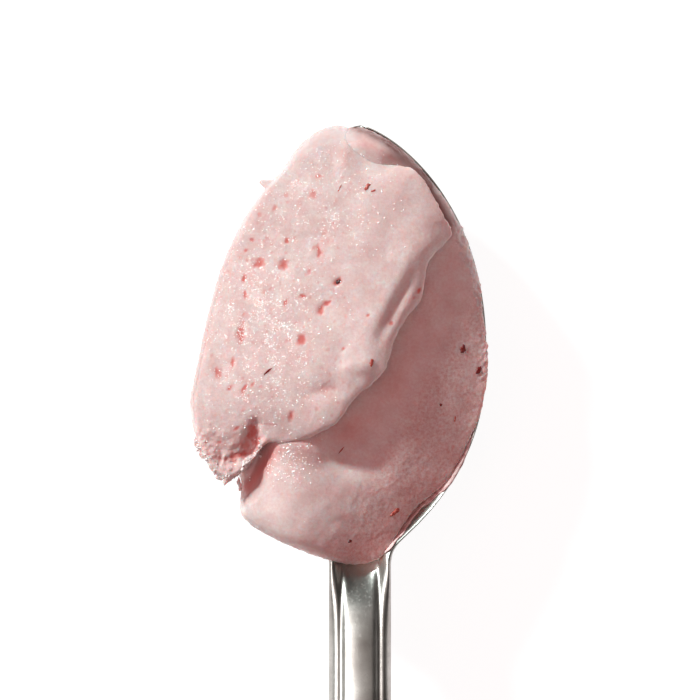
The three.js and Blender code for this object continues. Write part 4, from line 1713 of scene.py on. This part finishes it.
@dataclass
class Crumbs:
    """Broken crumbs along the tear, beside the notch and on the frosted rim."""

    lines: tuple[CrumbLine, ...] = (
        CrumbLine(
            ((194, 432), (199, 446), (209, 460), (222, 474), (236, 478)), 70, 2.2, (0.08, 0.3)
        ),
        CrumbLine(((240, 470), (252, 458), (262, 446)), 50, 2.5, (0.1, 0.4)),
        CrumbLine(((453, 232), (466, 260), (475, 288), (483, 312)), 90, 1.3, (0.05, 0.16)),
    )
    small_share: float = 2.5         # how much commoner small crumbs are, as a power
    narrow: tuple[float, float] = (0.6, 1.0)
    flat: tuple[float, float] = (0.5, 0.9)
    lean: float = 0.5

    def _drop(
        self, bm: BMesh, draw: random.Random, surface: Surface, line: CrumbLine
    ) -> None:
        """Drops crumbs along a line.

        Args:
            bm: The bmesh that they join.
            draw: The seeded source of places and sizes.
            surface: What they lie on.
            line: Where they lie, and how many and how large they are.
        """
        path = catmull_rom(line.pixels, closed=False)
        least, most = line.half_size
        for i in range(line.count):
            px, py = path[draw.randrange(len(path))]
            spot = (px + draw.gauss(0, line.spread), py + draw.gauss(0, line.spread))
            found = surface.top(*from_photo(*spot))
            if found is None:
                continue
            size = least + (most - least) * draw.random() ** self.small_share
            shape = (size, size * draw.uniform(*self.narrow), size * draw.uniform(*self.flat))
            lean = Vector([draw.gauss(0, self.lean), draw.gauss(0, self.lean), 1])
            frame = standing(found[0], lean.normalized(), draw.uniform(0, 180))
            add_lump(bm, frame, shape, CRUMB_KIND, i * 1.3)

    def build(self, surface: Surface) -> Object:
        """Makes all the crumbs as one joined mesh."""
        draw = random.Random(19)
        bm = bmesh.new()
        for line in self.lines:
            self._drop(bm, draw, surface, line)
        piece = finish_mesh("sherbet_crumbs", bm, CrumbFinish().build("crumbled_sherbet"))
        return piece


@dataclass
class MeltedFilm:
    """The thin smear of melted sherbet that the scoop leaves on the metal."""

    line: tuple[tuple[float, float], ...] = (
        (472, 436), (460, 465), (448, 481), (430, 497), (416, 507), (405, 521),
        (397, 535), (388, 546), (378, 556),
    )
    width: float = 3.2
    inside: float = 0.7              # the share of its width on the sherbet's side
    wobble: Grain = Grain(2.2, 0.3, 9)
    evenness: float = 0.9
    clearance: float = 0.1           # how far it lies over the metal
    thickness: float = 0.3
    skin: float = 0.15
    columns: int = 14

    def build(self) -> Object:
        """Lays the film on the bowl's inner face beside the scoop."""
        pixels = catmull_rom(self.line, closed=False, per_span=24)
        path = np.array([from_photo(*pixel) for pixel in pixels])
        run = np.gradient(path, axis=0)
        run /= np.linalg.norm(run, axis=1)[:, None]
        outward = np.stack([-run[:, 1], run[:, 0]], axis=1)
        if outward[0, 0] < 0:
            outward = -outward
        bm = bmesh.new()
        last = len(path) - 1
        bmesh.ops.create_grid(bm, x_segments=last, y_segments=self.columns, size=0.5)
        grid = vertex_array(bm)
        row = np.rint((grid[:, 0] + 0.5) * last).astype(int)
        across = grid[:, 1] + 0.5
        ends = np.sin(np.pi * np.clip(row / last, 0, 1)) ** 0.5
        level = np.column_stack([path[row], np.zeros(len(row))])
        ragged = self.evenness + grain_at((self.wobble,), level)
        reach = (across - self.inside) * self.width * ragged * ends
        plan = path[row] + outward[row] * reach[:, None]
        height = SPOON_FORM.inner_height(plan[:, 0], plan[:, 1])
        crown = np.sqrt(np.maximum(0, 1 - across**4))
        height += self.clearance + self.thickness * crown * ends
        place_vertices(bm, np.column_stack([plan, height]))
        bmesh.ops.solidify(bm, geom=bm.faces, thickness=self.skin * MM)
        finish = CrumbFinish(Tint.FILM, Tint.PINK, 0.7)
        piece = finish_mesh("melted_film", bm, finish.build("melted_sherbet"))
        return piece


@dataclass
class Studio:
    """The table, the lights and the camera."""

    lens: float = 300.0
    sensor: float = 36.0
    plane: float = 16.0              # height of the sherbet that the framing is set for
    table_half: float = 3000.0
    sun_turn: float = 135.0          # where the light comes from, in degrees from +X
    sun_height: float = 27.0
    sun_size: float = 7.0
    sun_power: float = 4.1
    sun_tint: tuple[float, float, float] = (0.78, 0.97, 0.955)
    fill_power: float = 0.85         # soft warm light from high up on the same side
    fill_tint: tuple[float, float, float] = (1.0, 0.3, 0.33)
    fill_height: float = 62.0
    fill_size: float = 110.0
    card_power: float = 3.1          # a white card on the left, which only the metal mirrors
    card_size: tuple[float, float] = (0.56, 0.32)
    card_place: tuple[float, float, float] = (-0.273, -0.08, 0.376)
    sky: float = 0.055
    sky_tint: tuple[float, float, float, float] = (1.0, 0.93, 0.89, 1.0)
    zenith: float = 0.5              # brightness of the patch of sky straight above
    zenith_edge: tuple[float, float] = (0.8, 0.95)
    backdrop: float = 0.95           # what the camera sees beyond the table
    table_gap: float = 0.1           # how far the table lies under the spoon

    def table(self, height: float) -> None:
        """Makes the table at a height in metres."""
        bm = bmesh.new()
        bmesh.ops.create_grid(bm, x_segments=1, y_segments=1, size=self.table_half * MM)
        drop = Vector((0, 0, height - self.table_gap * MM))
        bmesh.ops.translate(bm, verts=bm.verts, vec=drop)
        finish_mesh("table_top", bm, TableFinish().build("pale_table"))

    def _sun(
        self, name: str, power: float, tint: tuple[float, float, float],
        height: float, size: float,
    ) -> Object:
        """Adds a distant light from the upper left.

        Args:
            name: Its name.
            power: Its strength.
            tint: Its colour.
            height: Degrees above the table.
            size: How many degrees of the sky it takes up.

        Returns:
            The light's object.
        """
        lamp = bpy.data.lights.new(name, "SUN")
        lamp.energy, lamp.color, lamp.angle = power, tint, math.radians(size)
        obj = link_object(name, lamp)
        turn, rise = math.radians(self.sun_turn), math.radians(height)
        level = math.cos(rise)
        towards = Vector((math.cos(turn) * level, math.sin(turn) * level, math.sin(rise)))
        obj.rotation_euler = towards.to_track_quat("Z", "Y").to_euler()
        return obj

    def _card(self) -> None:
        """Adds the white card."""
        lamp = bpy.data.lights.new("card", "AREA")
        lamp.shape, lamp.energy = "RECTANGLE", self.card_power
        lamp.size, lamp.size_y = self.card_size
        card = link_object("card", lamp)
        card.location = self.card_place
        away = Vector((self.card_place[0], 0.0, self.card_place[2]))
        card.rotation_euler = away.to_track_quat("Z", "Y").to_euler()
        card.visible_diffuse = False

    def lights(self) -> None:
        """A low key light, a soft fill, a mirrored card and a dim sky."""
        self._sun("key", self.sun_power, self.sun_tint, self.sun_height, self.sun_size)
        fill = self._sun(
            "fill", self.fill_power, self.fill_tint, self.fill_height, self.fill_size
        )
        fill.visible_glossy = False
        self._card()
        self._sky()

    def _sky(self) -> None:
        """A dim pale sky, brighter straight above, that the camera sees as white."""
        world = bpy.data.worlds.new("sky")
        bpy.context.scene.world = world
        n = Nodes(world, "Background")
        parts = n.add("ShaderNodeSeparateXYZ", Vector=n.places["Generated"])
        above = n.add(
            "ShaderNodeMapRange", Value=parts.outputs["Z"],
            From_Min=self.zenith_edge[0], From_Max=self.zenith_edge[1],
            To_Min=self.sky, To_Max=self.zenith,
        )
        above.interpolation_type = "SMOOTHSTEP"
        seen = n.add("ShaderNodeLightPath").outputs["Is Camera Ray"]
        strength = n.add(
            "ShaderNodeMix", Factor=seen, A=above.outputs["Result"], B=self.backdrop
        )
        n.set(Color=self.sky_tint, Strength=strength.outputs["Result"])

    def camera(self) -> None:
        """Looks straight down, framed as the photograph is."""
        data = bpy.data.cameras.new("camera")
        data.lens = self.lens
        data.sensor_width = self.sensor
        data.clip_start, data.clip_end = 0.01, 10.0
        camera = link_object("camera", data)
        x, y = from_photo(PHOTO_SIZE / 2, PHOTO_SIZE / 2)
        distance = PHOTO_SIZE * PHOTO_PIXEL * self.lens / self.sensor
        camera.location = Vector((x, y, self.plane + distance)) * MM
        bpy.context.scene.camera = camera


def main() -> None:
    """Builds every piece in order and lets each ride on the part."""
    logging.basicConfig(level=logging.INFO, format="%(message)s")
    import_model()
    studio = Studio()
    studio.camera()
    studio.lights()
    studio.table(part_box("spoon")[0].z)
    bpy.context.scene.view_settings.view_transform = "Standard"

    pieces = [Spoon().build()]
    masses = Sherbet().build()
    surface = Surface(masses)
    pieces += masses
    pieces += FruitBits().build(surface)
    pieces.append(IceGlints().build(surface))
    pieces.append(Crumbs().build(surface))
    pieces.append(MeltedFilm().build())
    for piece in pieces:
        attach(piece, "root")
        log.info("%s: %d faces", piece.name, len(piece.data.polygons))


if __name__ == "__main__":
    main()
